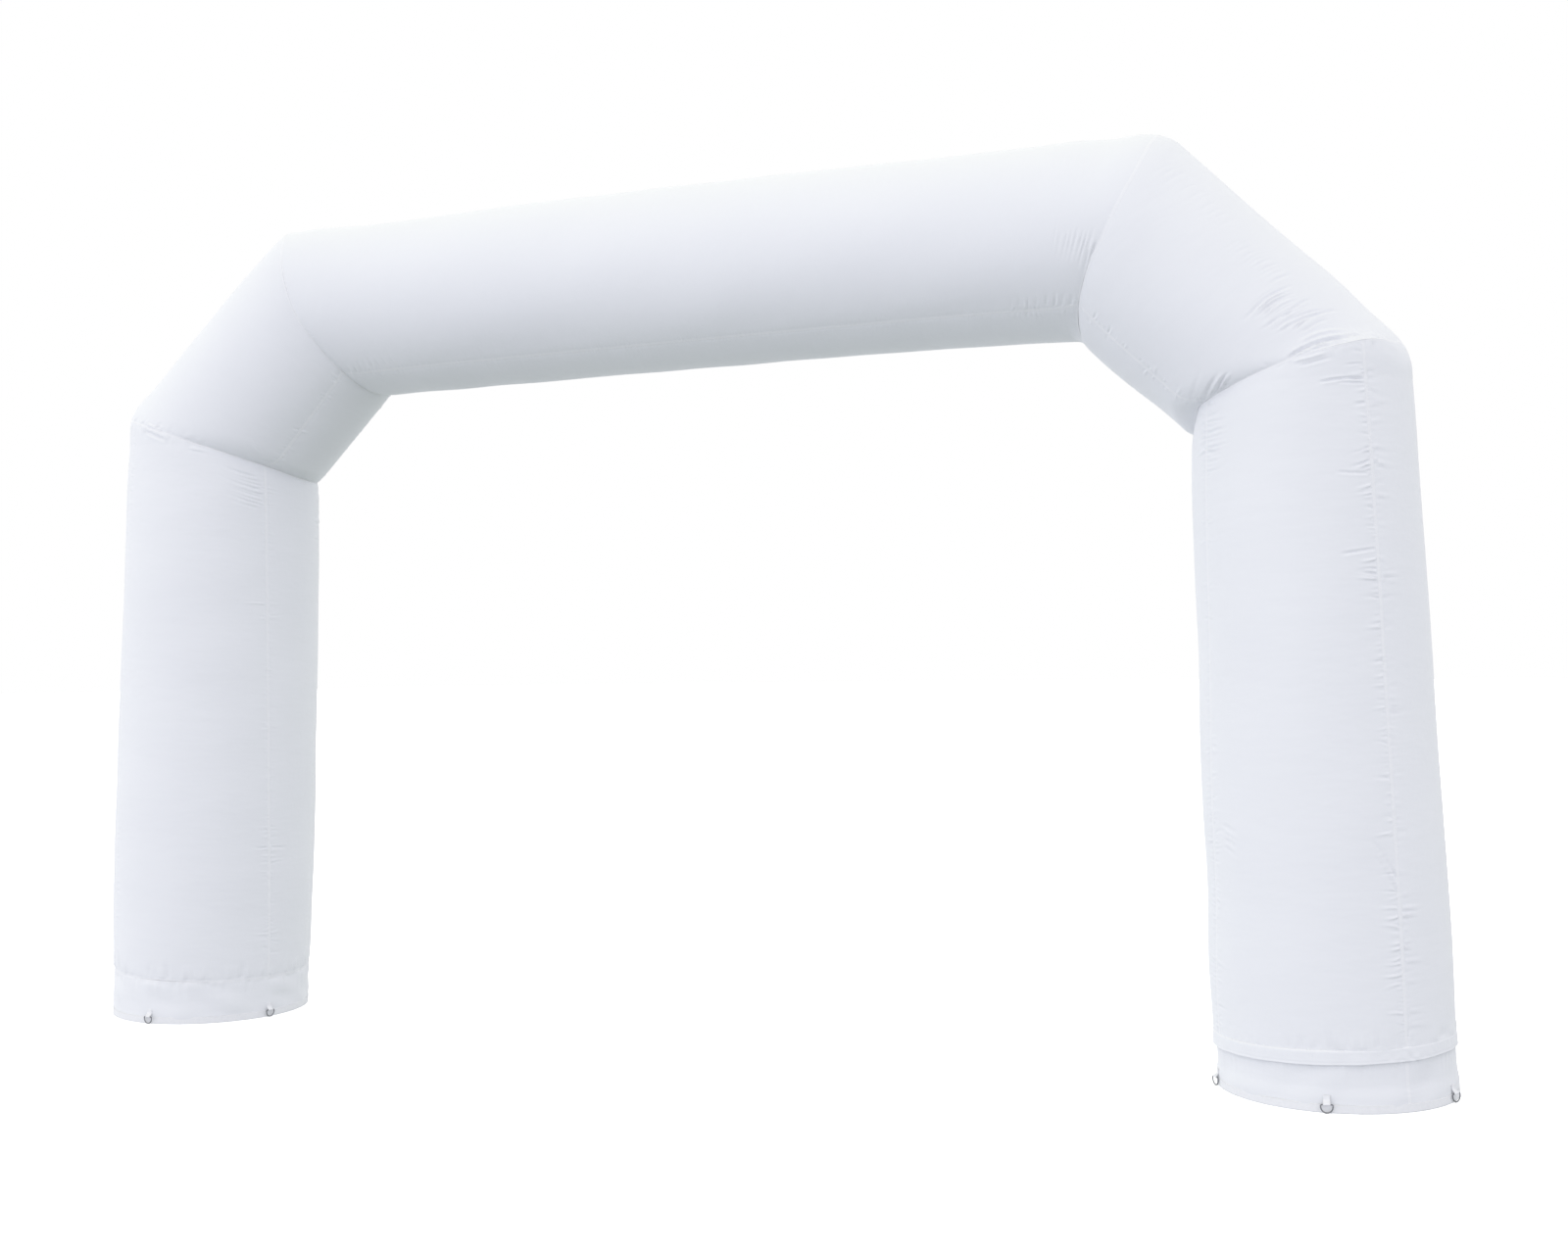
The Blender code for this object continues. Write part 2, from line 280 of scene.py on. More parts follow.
@dataclass(frozen=True)
class CentreLine:
    """The bends of the arch's centre line and the radii there."""

    foot_x: float = 3.147
    knee_x: float = 3.016
    knee_z: float = 3.219
    crown_x: float = 2.225
    crown_z: float = 3.993
    foot_radius: float = 0.542
    knee_radius: float = 0.516
    crown_radius: float = 0.509
    leg_swell: float = 0.018
    shoulder_swell: float = -0.001
    beam_swell: float = -0.028
    skirt_height: float = 0.235
    foot_seam_rise: float = 0.008
    leg_bulges_left: tuple[Bulge, ...] = (
        Bulge(-90.0, 0.75, 0.006, 60.0, 0.9), Bulge(-90.0, 2.88, 0.022, 50.0, 0.28),
        Bulge(-90.0, 3.14, 0.022, 45.0, 0.16),
    )
    leg_bulges_right: tuple[Bulge, ...] = (
        Bulge(76.0, 2.85, -0.020, 45.0, 0.35), Bulge(-85.0, 2.5, -0.016, 45.0, 0.5),
        Bulge(76.0, 0.72, -0.020, 45.0, 0.35), Bulge(82.0, 1.95, -0.030, 50.0, 0.8),
        Bulge(-90.0, 1.35, -0.024, 60.0, 1.15),
    )
    shoulder_bulges_left: tuple[Bulge, ...] = (
        Bulge(-90.0, 0.5, 0.008, 60.0, 0.8), Bulge(-90.0, -0.10, 0.020, 50.0, 0.25),
        Bulge(-90.0, -0.15, 0.010, 45.0, 0.12), Bulge(-90.0, 1.15, -0.022, 50.0, 0.24),
    )
    shoulder_bulges_right: tuple[Bulge, ...] = (
        Bulge(-90.0, 0.55, -0.020, 60.0, 0.7), Bulge(88.0, 1.15, -0.024, 50.0, 0.35),
        Bulge(86.0, 0.42, -0.034, 42.0, 0.30), Bulge(80.0, -0.05, -0.032, 45.0, 0.35),
        Bulge(-90.0, -0.05, -0.024, 55.0, 0.22),
    )
    beam_bulges: tuple[Bulge, ...] = (
        Bulge(-90.0, 0.1, -0.055, 55.0, 0.9), Bulge(85.0, 4.45, -0.038, 55.0, 1.3),
        Bulge(88.0, 2.7, -0.024, 50.0, 1.4), Bulge(-90.0, 2.95, 0.008, 55.0, 0.5),
        Bulge(-90.0, 4.42, -0.020, 50.0, 0.12),
    )

    def foot(self, side: Side) -> Point:
        """The centre line's place on the ground."""
        return (side.value * self.foot_x, 0.0, 0.0)

    def seam_rise(self, side: Side) -> float:
        """How far the foot's top seam is sewn above the end of the leg."""
        return self.foot_seam_rise if side is Side.LEFT else 0.0

    def knee(self, side: Side) -> Point:
        """Where leg and shoulder meet."""
        return (side.value * self.knee_x, 0.0, self.knee_z)

    def crown(self, side: Side) -> Point:
        """Where shoulder and beam meet."""
        return (side.value * self.crown_x, 0.0, self.crown_z)

    def leg(self, side: Side) -> Tube:
        """The leg, from its bottom seam to the knee.

        Args:
            side: which leg.

        Returns:
            The tube.
        """
        foot, knee = np.array(self.foot(side)), np.array(self.knee(side))
        start = foot + (knee - foot) / np.linalg.norm(knee - foot) * self.skirt_height
        bulges = self.leg_bulges_left if side is Side.LEFT else self.leg_bulges_right
        return Tube(tuple(start), tuple(knee), self.foot_radius, self.knee_radius, self.leg_swell, bulges)

    def shoulder(self, side: Side) -> Tube:
        """The shoulder, from knee to crown.

        Args:
            side: which shoulder.

        Returns:
            The tube.
        """
        bulges = self.shoulder_bulges_left if side is Side.LEFT else self.shoulder_bulges_right
        return Tube(
            self.knee(side), self.crown(side), self.knee_radius, self.crown_radius, self.shoulder_swell,
            bulges,
        )

    def beam(self) -> Tube:
        """The beam, from the left crown to the right one.

        Returns:
            The tube.
        """
        return Tube(
            self.crown(Side.LEFT), self.crown(Side.RIGHT), self.crown_radius, self.crown_radius,
            self.beam_swell, self.beam_bulges,
        )


@dataclass(frozen=True)
class MitreShape:
    """How a cross seam curves, as values at the angles of the lower tube.

    slide moves the seam up the lower tube from the plane that halves the bend, and sink
    draws it in towards the axis. fade_below and fade_above are how far from the seam each
    tube is whole again.
    """

    slide: Ring
    sink: Ring
    fade_below: Ring
    fade_above: Ring


@dataclass(frozen=True)
class Mitre:
    """The cross seam between two tubes, named by the angles of the lower one."""

    below: Tube
    above: Tube
    above_ends_here: bool
    shape: MitreShape

    def fade(self, tube: Tube, angle: Array) -> Array:
        """How far from the seam this tube is whole again, at these angles."""
        return (self.shape.fade_below if tube == self.below else self.shape.fade_above).at(angle)

    def points(self, angle: Array) -> Array:
        """World points of the seam at these angles.

        Args:
            angle: angles of the lower tube.

        Returns:
            World points.
        """
        leaving = -self.above.axis if self.above_ends_here else self.above.axis
        normal = self.below.axis + leaving
        outward = self.below.outward(angle)
        lean = (outward @ normal) / (self.below.axis @ normal)
        reach = self.below.length - self.below.end_radius * lean + self.shape.slide.at(angle)
        return self.below.point(angle, reach, self.below.radius(angle, reach) - self.shape.sink.at(angle))


@dataclass(frozen=True)
class FlatSeam:
    """The level seam at the bottom of a leg."""

    tube: Tube
    rise: float = 0.0
    sink: float = 0.002
    fade_length: float = 0.10

    def fade(self, tube: Tube, angle: Array) -> Array:
        """How far from the seam the leg is whole again, at these angles."""
        return np.full(np.shape(angle), self.fade_length)

    def points(self, angle: Array) -> Array:
        """World points of the seam at these angles."""
        level = np.ones(np.shape(angle))
        return self.tube.point(angle, self.rise * level, (self.tube.start_radius - self.sink) * level)


CrossSeam = Mitre | FlatSeam


@dataclass(frozen=True)
class Fold:
    """A fold in the cloth: a ridge between two low creases or, if its height is negative,
    a crease between two low ridges.

    It runs from (angle, reach) to (to_angle, to_reach), bows sideways by bow in the middle
    and grows spread times wider on its way.
    """

    angle: float
    reach: float
    to_angle: float
    to_reach: float
    height: float
    width: float
    bow: float = 0.0
    spread: float = 1.5
    fade_in: float = 0.2
    fade_out: float = 0.7

    def lift(self, x: Array, y: Array, radius: float, turn: float) -> tuple[Array, Array]:
        """How far the fold lifts the cloth.

        Args:
            x: distances round the tube from angle 0.
            y: reaches.
            radius: what turns an angle into a distance round the tube.
            turn: whole turns to add to the fold's angles, in degrees.

        Returns:
            The indices of the points that move, and their lifts.
        """
        x_start, x_end = (math.radians(angle + turn) * radius for angle in (self.angle, self.to_angle))
        run = math.hypot(x_end - x_start, self.to_reach - self.reach)
        along_x, along_y = (x_end - x_start) / run, (self.to_reach - self.reach) / run
        margin = FOLD_REACH * self.width * max(self.spread, 1.0) + abs(self.bow)
        near = np.flatnonzero(
            (x > min(x_start, x_end) - margin) & (x < max(x_start, x_end) + margin)
            & (y > min(self.reach, self.to_reach) - margin) & (y < max(self.reach, self.to_reach) + margin)
        )
        from_x, from_y = x[near] - x_start, y[near] - self.reach
        share = (from_x * along_x + from_y * along_y) / run
        aside = from_y * along_x - from_x * along_y - self.bow * 4.0 * share * (1.0 - share)
        width = self.width * mix(1.0, self.spread, np.clip(share, 0.0, 1.0))
        square = (aside / width) ** 2
        ends = soft_step(share / self.fade_in) * soft_step((1.0 - share) / self.fade_out)
        return near, self.height * ends * (1.0 - FOLD_SIDES * square) * np.exp(-square)


@dataclass(frozen=True)
class FoldFan:
    """A row of folds between a first and a last one, no two quite alike."""

    first: Fold
    last: Fold
    count: int
    seed: int

    def folds(self) -> Iterator[Fold]:
        """The folds of the fan.

        Yields:
            The folds, from the first to the last.
        """
        chance = np.random.default_rng(self.seed)
        for number in range(self.count):
            share = number / (self.count - 1) + chance.uniform(-0.25, 0.25) / self.count
            pairs = zip(vars(self.first).values(), vars(self.last).values())
            fold = Fold(*(mix(first, last, share) for first, last in pairs))
            start, stop = chance.uniform(0.0, 0.18), chance.uniform(0.78, 1.0)
            yield replace(
                fold,
                angle=mix(fold.angle, fold.to_angle, start),
                reach=mix(fold.reach, fold.to_reach, start),
                to_angle=mix(fold.angle, fold.to_angle, stop),
                to_reach=mix(fold.reach, fold.to_reach, stop),
                height=fold.height * chance.uniform(0.5, 1.3),
                width=fold.width * chance.uniform(0.75, 1.2),
            )


@dataclass(frozen=True)
class Puckers:
    """The small folds that stand off a seam on each side.

    clusters holds (middle, half length, strength) along the seam, in metres, or in degrees
    on a cross seam. ridges is the share that stands up, and drift and bow are shares of a
    pucker's length.
    """

    spacing: float = 0.019
    height: float = 0.0023
    length: float = 0.095
    width: float = 0.0060
    strength: float = 0.35
    clusters: tuple[tuple[float, float, float], ...] = ()
    standoff: float = 0.0078
    weakest: float = 0.06
    ridges: float = 0.65
    shortest: float = 0.35
    longest_at: float = 1.6
    highest_at: float = 2.2
    drift: float = 0.14
    bow: float = 0.05

    def strength_at(self, place: float) -> float:
        """How strong the puckers are at this place along the seam.

        Args:
            place: metres along a long seam, or degrees round a cross seam.

        Returns:
            The strength, clusters included.
        """
        added = sum(
            strength * math.exp(-(((place - middle) / half) ** 2)) for middle, half, strength in self.clusters
        )
        return self.strength + added

    def folds(
        self, strength: float, chance: np.random.Generator, ends: Callable[[float, float], tuple[float, ...]]
    ) -> Iterator[Fold]:
        """One pucker, or none where it would be too weak to see.

        Args:
            strength: how strong the pucker is.
            chance: what makes it unlike the others.
            ends: gives where it starts and stops, from its length and its drift along the seam.

        Yields:
            The fold.
        """
        if strength < self.weakest:
            return
        whole = self.length * mix(self.shortest, 1.0, min(strength, self.longest_at))
        length = whole * chance.uniform(0.5, 1.3)
        drift = chance.normal(0.0, self.drift) * length
        way = 1 if chance.random() > 1.0 - self.ridges else -1
        yield Fold(
            *ends(length, drift), self.height * min(strength, self.highest_at) * way,
            self.width * chance.uniform(0.8, 1.3), bow=chance.normal(0.0, self.bow) * length,
            spread=2.0, fade_in=0.12, fade_out=0.85,
        )


@dataclass(frozen=True)
class Laid:
    """Where the vertices of a piece of cloth lie."""

    points: Array
    pattern: Array
    long_seam: Array
    cross_seam: Array
    folded: Array | None = None


@contextmanager
def reshaped(mesh: bpy.types.Mesh) -> Iterator[bmesh.types.BMesh]:
    """The mesh opened for bmesh operators, and written back after them.

    Args:
        mesh: the mesh.

    Yields:
        Its bmesh.
    """
    shape = bmesh.new()
    try:
        shape.from_mesh(mesh)
        yield shape
        shape.to_mesh(mesh)
    finally:
        shape.free()


def put_in_scene(name: str, data: bpy.types.ID) -> Piece:
    """A new object with this data, linked to the scene.

    Args:
        name: the object's name.
        data: its mesh or camera.

    Returns:
        The object.
    """
    thing = bpy.data.objects.new(name, data)
    bpy.context.scene.collection.objects.link(thing)
    return thing


def read(items: bpy.types.bpy_prop_collection, key: str, kind: type, size: int = 1) -> Array:
    """One property of all the items, as an array with a row of this size for each.

    Args:
        items: vertices, edges or loops of a mesh.
        key: the property.
        kind: the type of its numbers.
        size: how many numbers each item has.

    Returns:
        The array.
    """
    values = np.empty(len(items) * size, dtype=kind)
    items.foreach_get(key, values)
    return values.reshape(-1, size) if size > 1 else values


def lay_grid(name: str, columns: int, rows: int, place: Place, closed: bool = False) -> Piece:
    """A grid of quads, laid where place says, as an object with the pattern as its UV map.

    Args:
        name: the object's name.
        columns: quads across.
        rows: quads along.
        place: takes arrays of column and row numbers, and gives how the cloth lies.
        closed: whether the last column meets the first.

    Returns:
        The object, at the origin.
    """
    mesh = bpy.data.meshes.new(name)
    with reshaped(mesh) as shape:
        bmesh.ops.create_grid(shape, x_segments=columns, y_segments=rows, size=0.5)
    share = read(mesh.vertices, "co", float, 3)[:, :2] + 0.5
    laid = place(*np.rint(share * (columns, rows)).astype(int).T)
    mesh.vertices.foreach_set("co", laid.points.astype(np.float32).ravel())
    corner_points = read(mesh.loops, "vertex_index", np.int32)
    layer = mesh.uv_layers.new(name="pattern")
    layer.data.foreach_set("uv", laid.pattern[corner_points].astype(np.float32).ravel())
    for key in ("long_seam", "cross_seam"):
        values = getattr(laid, key).astype(np.float32)
        mesh.attributes.new(key, "FLOAT", "POINT").data.foreach_set("value", values)
    mesh.update()
    mesh.shade_smooth()
    if laid.folded is not None:
        sharp = laid.folded[read(mesh.edges, "vertices", np.int32, 2)].all(axis=1)
        mesh.attributes.new("sharp_edge", "BOOLEAN", "EDGE").data.foreach_set("value", sharp)
    if closed:
        with reshaped(mesh) as shape:
            bmesh.ops.remove_doubles(shape, verts=shape.verts, dist=MERGE_WITHIN)
    return put_in_scene(name, mesh)


def face_outwards(thing: Piece, away_from: Callable[[Vector], Vector]) -> None:
    """Turns a sheet over if its faces point towards the inside.

    Args:
        thing: a mesh object whose faces agree with each other.
        away_from: gives the outward direction at a point.
    """
    faces = thing.data.polygons
    chosen = range(0, len(faces), max(1, len(faces) // FACES_TRIED))
    outwards = sum(faces[number].normal @ away_from(faces[number].center) for number in chosen)
    if outwards < 0:
        with reshaped(thing.data) as shape:
            bmesh.ops.reverse_faces(shape, faces=shape.faces)


def thicken(piece: Piece, thickness: float, offset: float) -> None:
    """Gives a sheet its thickness, inwards at an offset of -1 and both ways at 0.

    Args:
        piece: the sheet.
        thickness: in metres.
        offset: -1 for inwards, 0 for both ways.
    """
    solid = piece.modifiers.new("thickness", "SOLIDIFY")
    solid.thickness = thickness
    solid.offset = offset


def spaced_evenly(points: Array, count: int) -> Array:
    """Points at even spacing along a line of points in a plane.

    Args:
        points: the line.
        count: how many spaces the result has.

    Returns:
        The count + 1 points.
    """
    run = run_along(points)
    even = np.linspace(0.0, run[-1], count + 1)
    return np.stack([np.interp(even, run, values) for values in points.T], axis=-1)


def run_along(points: Array) -> Array:
    """How far along a line each of its points is."""
    return np.concatenate(((0.0,), np.cumsum(np.linalg.norm(np.diff(points, axis=0), axis=1))))


def dress(
    piece: Piece, finish: Material, slot: Slot, node: str,
    flat: tuple[float, float] | None = None,
) -> Piece:
    """Dresses a piece, puts it in place of its node and logs it.

    Args:
        piece: the piece.
        finish: its material.
        slot: not used.
        node: the node that it replaces.
        flat: not used.

    Returns:
        The piece.
    """
    piece.data.materials.append(finish)
    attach(piece, BODY)
    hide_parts(node)
    LOG.info("%s: %d faces, for %s", piece.name, len(piece.data.polygons), node)
    return piece


class NodeTree:
    """A short way to write the nodes of a material or world."""

    def __init__(self, owner: Material | bpy.types.World) -> None:
        """Starts the nodes of a new material or world.

        Args:
            owner: what the nodes belong to.
        """
        owner.use_nodes = True
        self.owner = owner
        self.tree = owner.node_tree
        self.nodes = self.tree.nodes

    @classmethod
    def material(cls, name: str) -> NodeTree:
        """The nodes of a new material."""
        return cls(bpy.data.materials.new(name))

    def shade(self, values: dict[str, Value]) -> None:
        """Sets or links sockets of the Principled shader."""
        for key, value in values.items():
            self.feed(self.nodes["Principled BSDF"].inputs[key], value)

    def add(
        self, kind: str, inputs: dict[str | int, Value] | None = None, **settings: object
    ) -> bpy.types.Node:
        """A new node.

        Args:
            kind: the node's type.
            inputs: socket values, or sockets to link from, by name or number.
            settings: the node's properties.

        Returns:
            The node.
        """
        node = self.nodes.new(kind)
        for key, value in settings.items():
            setattr(node, key, value)
        for key, value in (inputs or {}).items():
            self.feed(node.inputs[key], value)
        return node

    def feed(self, socket: Socket, value: Value) -> None:
        """Links a socket to value if that is a socket, and else sets it.

        Args:
            socket: the input.
            value: a socket to link from, or a value.
        """
        if isinstance(value, Socket):
            self.tree.links.new(value, socket)
        else:
            socket.default_value = value

    def math(self, operation: str, *values: Value, clamp: bool = False) -> Socket:
        """The result of a Math node.

        Args:
            operation: the node's operation.
            values: its inputs.
            clamp: whether the result is kept from 0 to 1.

        Returns:
            The output.
        """
        node = self.add("ShaderNodeMath", operation=operation, use_clamp=clamp)
        for socket, value in zip(node.inputs, values):
            self.feed(socket, value)
        return node.outputs[0]

    def attribute(self, name: str) -> Socket:
        """The value of a mesh attribute."""
        return self.add("ShaderNodeAttribute", attribute_name=name).outputs["Fac"]

    def place(self) -> Socket:
        """The place in the object, in metres."""
        return self.add("ShaderNodeTexCoord").outputs["Object"]

    def pattern(self) -> tuple[Socket, Socket]:
        """How far across and along the flat cloth a place is, in metres.

        Returns:
            The two sockets.
        """
        flat = self.add("ShaderNodeUVMap", uv_map="pattern").outputs["UV"]
        parts = self.add("ShaderNodeSeparateXYZ", {0: flat}).outputs
        return parts["X"], parts["Y"]

    def scaled(self, x: Value, x_scale: float, y: Value, y_scale: float) -> Socket:
        """A vector from two distances, each times its scale."""
        parts = {0: self.math("MULTIPLY", x, x_scale), 1: self.math("MULTIPLY", y, y_scale)}
        return self.add("ShaderNodeCombineXYZ", parts).outputs[0]

    def wave(self, distance: Value, length: float) -> Socket:
        """A sine wave of this length."""
        return self.math("SINE", self.math("MULTIPLY", distance, WHOLE_TURN / length))

    def blend(self, share: Value, first: Value, last: Value) -> Socket:
        """The colour at this share of the way from first to last."""
        return self.add("ShaderNodeMix", {0: share, 6: first, 7: last}, data_type="RGBA").outputs[2]

    def stitches(self, off_edge: Value, row: float, half: float, along: Value, length: float) -> Socket:
        """A row of stitches, as 1 on the thread and 0 off it.

        Args:
            off_edge: the distance from the seam or edge.
            row: how far from it the row runs.
            half: half of the row's width.
            along: the distance along the row.
            length: the length of a stitch with its gap.

        Returns:
            The socket.
        """
        dash = self.math("MULTIPLY_ADD", self.wave(along, length), 1.5, 1.0, clamp=True)
        return self.math("MULTIPLY", self.band(off_edge, row, half), dash)

    def show(self, output: str, seen: Socket, unseen: Socket) -> None:
        """Gives the output one shader for the camera and another for the light.

        Args:
            output: the output node's name.
            seen: the shader that the camera sees.
            unseen: the shader for all other rays.
        """
        ray = self.add("ShaderNodeLightPath").outputs["Is Camera Ray"]
        both = self.add("ShaderNodeMixShader", {0: ray, 1: unseen, 2: seen})
        self.feed(self.nodes[output].inputs["Surface"], both.outputs[0])

    def band(self, distance: Value, middle: float, half: float) -> Socket:
        """1 where distance is within half of middle, and 0 past it, with soft edges."""
        off = self.math("ABSOLUTE", self.math("SUBTRACT", distance, middle))
        return self.math("SUBTRACT", 1.0, self.math("DIVIDE", off, half), clamp=True)

    def noise(self, vector: Value, scale: float, detail: float = 3.0, rough: float = 0.5) -> Socket:
        """The value of a Noise node."""
        values = {"Vector": vector, "Scale": scale, "Detail": detail, "Roughness": rough}
        return self.add("ShaderNodeTexNoise", values).outputs["Fac"]

    def ramp(self, value: Value, *stops: tuple[float, Colour]) -> Socket:
        """The colour of a Color Ramp node with these stops.

        Args:
            value: where on the ramp.
            stops: (position, colour) of each stop.

        Returns:
            The output.
        """
        node = self.add("ShaderNodeValToRGB", {0: value})
        elements = node.color_ramp.elements
        for number, (position, colour) in enumerate(stops):
            element = elements[number] if number < 2 else elements.new(position)
            element.position = position
            element.color = (*colour, 1.0)
        return node.outputs["Color"]

    def bumps(self, *layers: tuple[Value, float, float]) -> Socket:
        """The normal of Bump nodes on top of each other, from (height, distance, strength).

        Args:
            layers: (height, distance, strength) of each, the lowest first.

        Returns:
            The normal.
        """
        under = {}
        for height, distance, strength in layers:
            values = {"Height": height, "Distance": distance, "Strength": strength, **under}
            under = {"Normal": self.add("ShaderNodeBump", values).outputs["Normal"]}
        return under["Normal"]


@dataclass(frozen=True)
class ClothFinish:
    """White coated polyester with a soft sheen, sewn with two rows of stitches, with painted highlights on
    its seams and stitches.
    """

    name: str = "coated_cloth"
    colour: Colour = (0.812, 0.828, 0.852)
    shade: Colour = (0.800, 0.816, 0.842)
    # painted highlight: a lighter strip along every seam, standing in for light caught by the raised seam
    seam_highlight_colour: Colour = (0.835, 0.848, 0.868)
    # the thread's own white, made lighter than the cloth as well: partly a painted highlight on the raised
    # stitch rows
    thread: Colour = (0.90, 0.90, 0.91)
    roughness: float = 0.52
    sheen: float = 0.25
    sheen_roughness: float = 0.45
    specular: float = 0.35
    weave: float = 0.0009
    stitch_row: float = 0.0058
    stitch_half: float = 0.0009
    stitch_length: float = 0.0048
    seam_half: float = 0.0078
    long_gathers: float = 0.07
    cross_gathers: float = 0.08
    tone_scale: float = 1.3
    blotch_scale: float = 9.0
    crinkle_scale: float = 26.0
    weave_depth: float = 0.0002
    crinkle_depth: float = 0.0012
    slack_depth: float = 0.008
    gather_depth: float = 0.008
    thread_depth: float = 0.0006

    @staticmethod
    def gathers(nodes: NodeTree, seam: Socket, along: Socket, across: Socket, depth: float) -> Socket:
        """The fine gathers that stand off a seam and die away over depth, in patches.

        Args:
            nodes: the nodes of the material.
            seam: the distance from the seam.
            along: the distance along it.
            across: the distance across it.
            depth: how far they reach.

        Returns:
            Their height.
        """
        fold = nodes.math("SUBTRACT", nodes.noise(nodes.scaled(along, 52.0, across, 9.0), 1.0, 2.0), 0.5)
        broad = nodes.noise(nodes.scaled(along, 5.0, across, 3.0), 1.0, 1.0)
        patch = nodes.math("MULTIPLY_ADD", broad, 4.0, -1.6, clamp=True)
        near = nodes.math("SUBTRACT", 1.0, nodes.math("DIVIDE", seam, depth), clamp=True)
        return nodes.math("MULTIPLY", nodes.math("MULTIPLY", fold, patch), nodes.math("MULTIPLY", near, near))

    def make(self) -> Material:
        """The finish as a material.

        Returns:
            The material.
        """
        nodes = NodeTree.material(self.name)
        place = nodes.place()
        across, along = nodes.pattern()
        long_seam, cross_seam = nodes.attribute("long_seam"), nodes.attribute("cross_seam")
        cloth = nodes.ramp(nodes.noise(place, self.tone_scale, 2.0), (0.35, self.shade), (0.65, self.colour))
        # mask of the painted highlight strip along the seams
        on_seam = nodes.math("LESS_THAN", nodes.math("MINIMUM", long_seam, cross_seam), self.seam_half)
        # the stitch rows: real thread, also painted lighter as a highlight on the raised stitches
        thread = nodes.math("MAXIMUM", *(
            nodes.stitches(seam, self.stitch_row, self.stitch_half, run, self.stitch_length)
            for seam, run in ((long_seam, along), (cross_seam, across))
        ))
        weave = nodes.math("MULTIPLY", nodes.wave(across, self.weave), nodes.wave(along, self.weave))
        crinkle = nodes.noise(place, self.crinkle_scale, 3.0, 0.55)
        slack = nodes.noise(nodes.scaled(across, 5.0, along, 13.0), 1.0, 2.0, 0.55)
        gathers = nodes.math(
            "ADD", self.gathers(nodes, long_seam, along, across, self.long_gathers),
            self.gathers(nodes, cross_seam, across, along, self.cross_gathers),
        )
        # the cloth with the painted highlight strip on its seams
        seam_highlighted = nodes.blend(on_seam, cloth, (*self.seam_highlight_colour, 1.0))
        blotches = nodes.noise(place, self.blotch_scale, 4.0)
        nodes.shade({
            # base colour: cloth tone, with the painted highlights on seam strip and stitch rows
            "Base Color": nodes.blend(thread, seam_highlighted, (*self.thread, 1.0)),
            "Roughness": nodes.math("MULTIPLY_ADD", blotches, 0.10, self.roughness - 0.05),
            "Sheen Weight": self.sheen,
            "Sheen Roughness": self.sheen_roughness,
            "Specular IOR Level": self.specular,
            "Normal": nodes.bumps(
                (weave, self.weave_depth, 0.25), (crinkle, self.crinkle_depth, 0.35),
                (slack, self.slack_depth, 0.35), (gathers, self.gather_depth, 0.6),
                (thread, self.thread_depth, 0.7),
            ),
        })
        return nodes.owner


@dataclass(frozen=True)
class WebbingFinish:
    """White woven webbing, ribbed across its width, with a sewn edge."""

    name: str = "woven_webbing"
    colour: Colour = (0.86, 0.87, 0.885)
    shade: Colour = (0.80, 0.81, 0.83)
    rib: float = 0.0016
    roughness: float = 0.75
    sheen: float = 0.15
    stitch_row: float = 0.003
    stitch_half: float = 0.0008
    stitch_length: float = 0.0048
    fuzz_scale: float = 60.0
    rib_depth: float = 0.0004
    thread_depth: float = 0.0006

    def make(self) -> Material:
        """The finish as a material.

        Returns:
            The material.
        """
        nodes = NodeTree.material(self.name)
        across, along = nodes.pattern()
        ribs = nodes.math("MULTIPLY", nodes.wave(across, self.rib), nodes.wave(along, self.rib))
        woven = nodes.math("MULTIPLY_ADD", ribs, 0.5, 0.5)
        fuzz = nodes.noise(nodes.place(), self.fuzz_scale, 4.0)
        tone = nodes.math("MULTIPLY_ADD", woven, 0.35, nodes.math("MULTIPLY", fuzz, 0.65))
        sewn = nodes.stitches(
            nodes.attribute("long_seam"), self.stitch_row, self.stitch_half, across, self.stitch_length
        )
        nodes.shade({
            "Base Color": nodes.ramp(tone, (0.3, self.shade), (0.7, self.colour)),
            "Roughness": nodes.math("MULTIPLY_ADD", fuzz, 0.1, self.roughness),
            "Sheen Weight": self.sheen,
            "Normal": nodes.bumps((woven, self.rib_depth, 0.5), (sewn, self.thread_depth, 0.8)),
        })
        return nodes.owner


@dataclass(frozen=True)
class SteelFinish:
    """Dark welded steel wire, a little dull and scratched."""

    name: str = "ring_wire"
    colour: Colour = (0.20, 0.205, 0.22)
    worn: Colour = (0.36, 0.36, 0.37)
    roughness: float = 0.34
    wear_scale: float = 240.0
    grain_scale: float = 900.0
    grain_depth: float = 0.0001

    def make(self) -> Material:
        """The finish as a material.

        Returns:
            The material.
        """
        nodes = NodeTree.material(self.name)
        wear = nodes.noise(nodes.place(), self.wear_scale, 5.0, 0.6)
        grain = nodes.noise(nodes.place(), self.grain_scale)
        nodes.shade({
            "Base Color": nodes.ramp(wear, (0.45, self.colour), (0.75, self.worn)),
            "Metallic": 1.0,
            "Roughness": nodes.math("MULTIPLY_ADD", grain, 0.2, self.roughness - 0.1),
            "Normal": nodes.bumps((grain, self.grain_depth, 0.3)),
        })
        return nodes.owner


@dataclass(frozen=True)
class Finishes:
    """The materials of the arch."""

    cloth: Material
    webbing: Material
    steel: Material

    @classmethod
    def make(cls) -> Finishes:
        """All of the materials."""
        return cls(ClothFinish().make(), WebbingFinish().make(), SteelFinish().make())


@dataclass(frozen=True)
class LongSeam:
    """A seam along a tube, as its angle at the tube's start and end, with its puckers."""

    start_angle: float
    end_angle: float
    puckers: Puckers
    seed: int

    def angle(self, along: Array | float) -> Array | float:
        """The seam's angle at this share of the tube's length."""
        return mix(self.start_angle, self.end_angle, along)

    def turned(self, degrees: float) -> LongSeam:
        """The same seam with this added to its angles."""
        return replace(self, start_angle=self.start_angle + degrees, end_angle=self.end_angle + degrees)


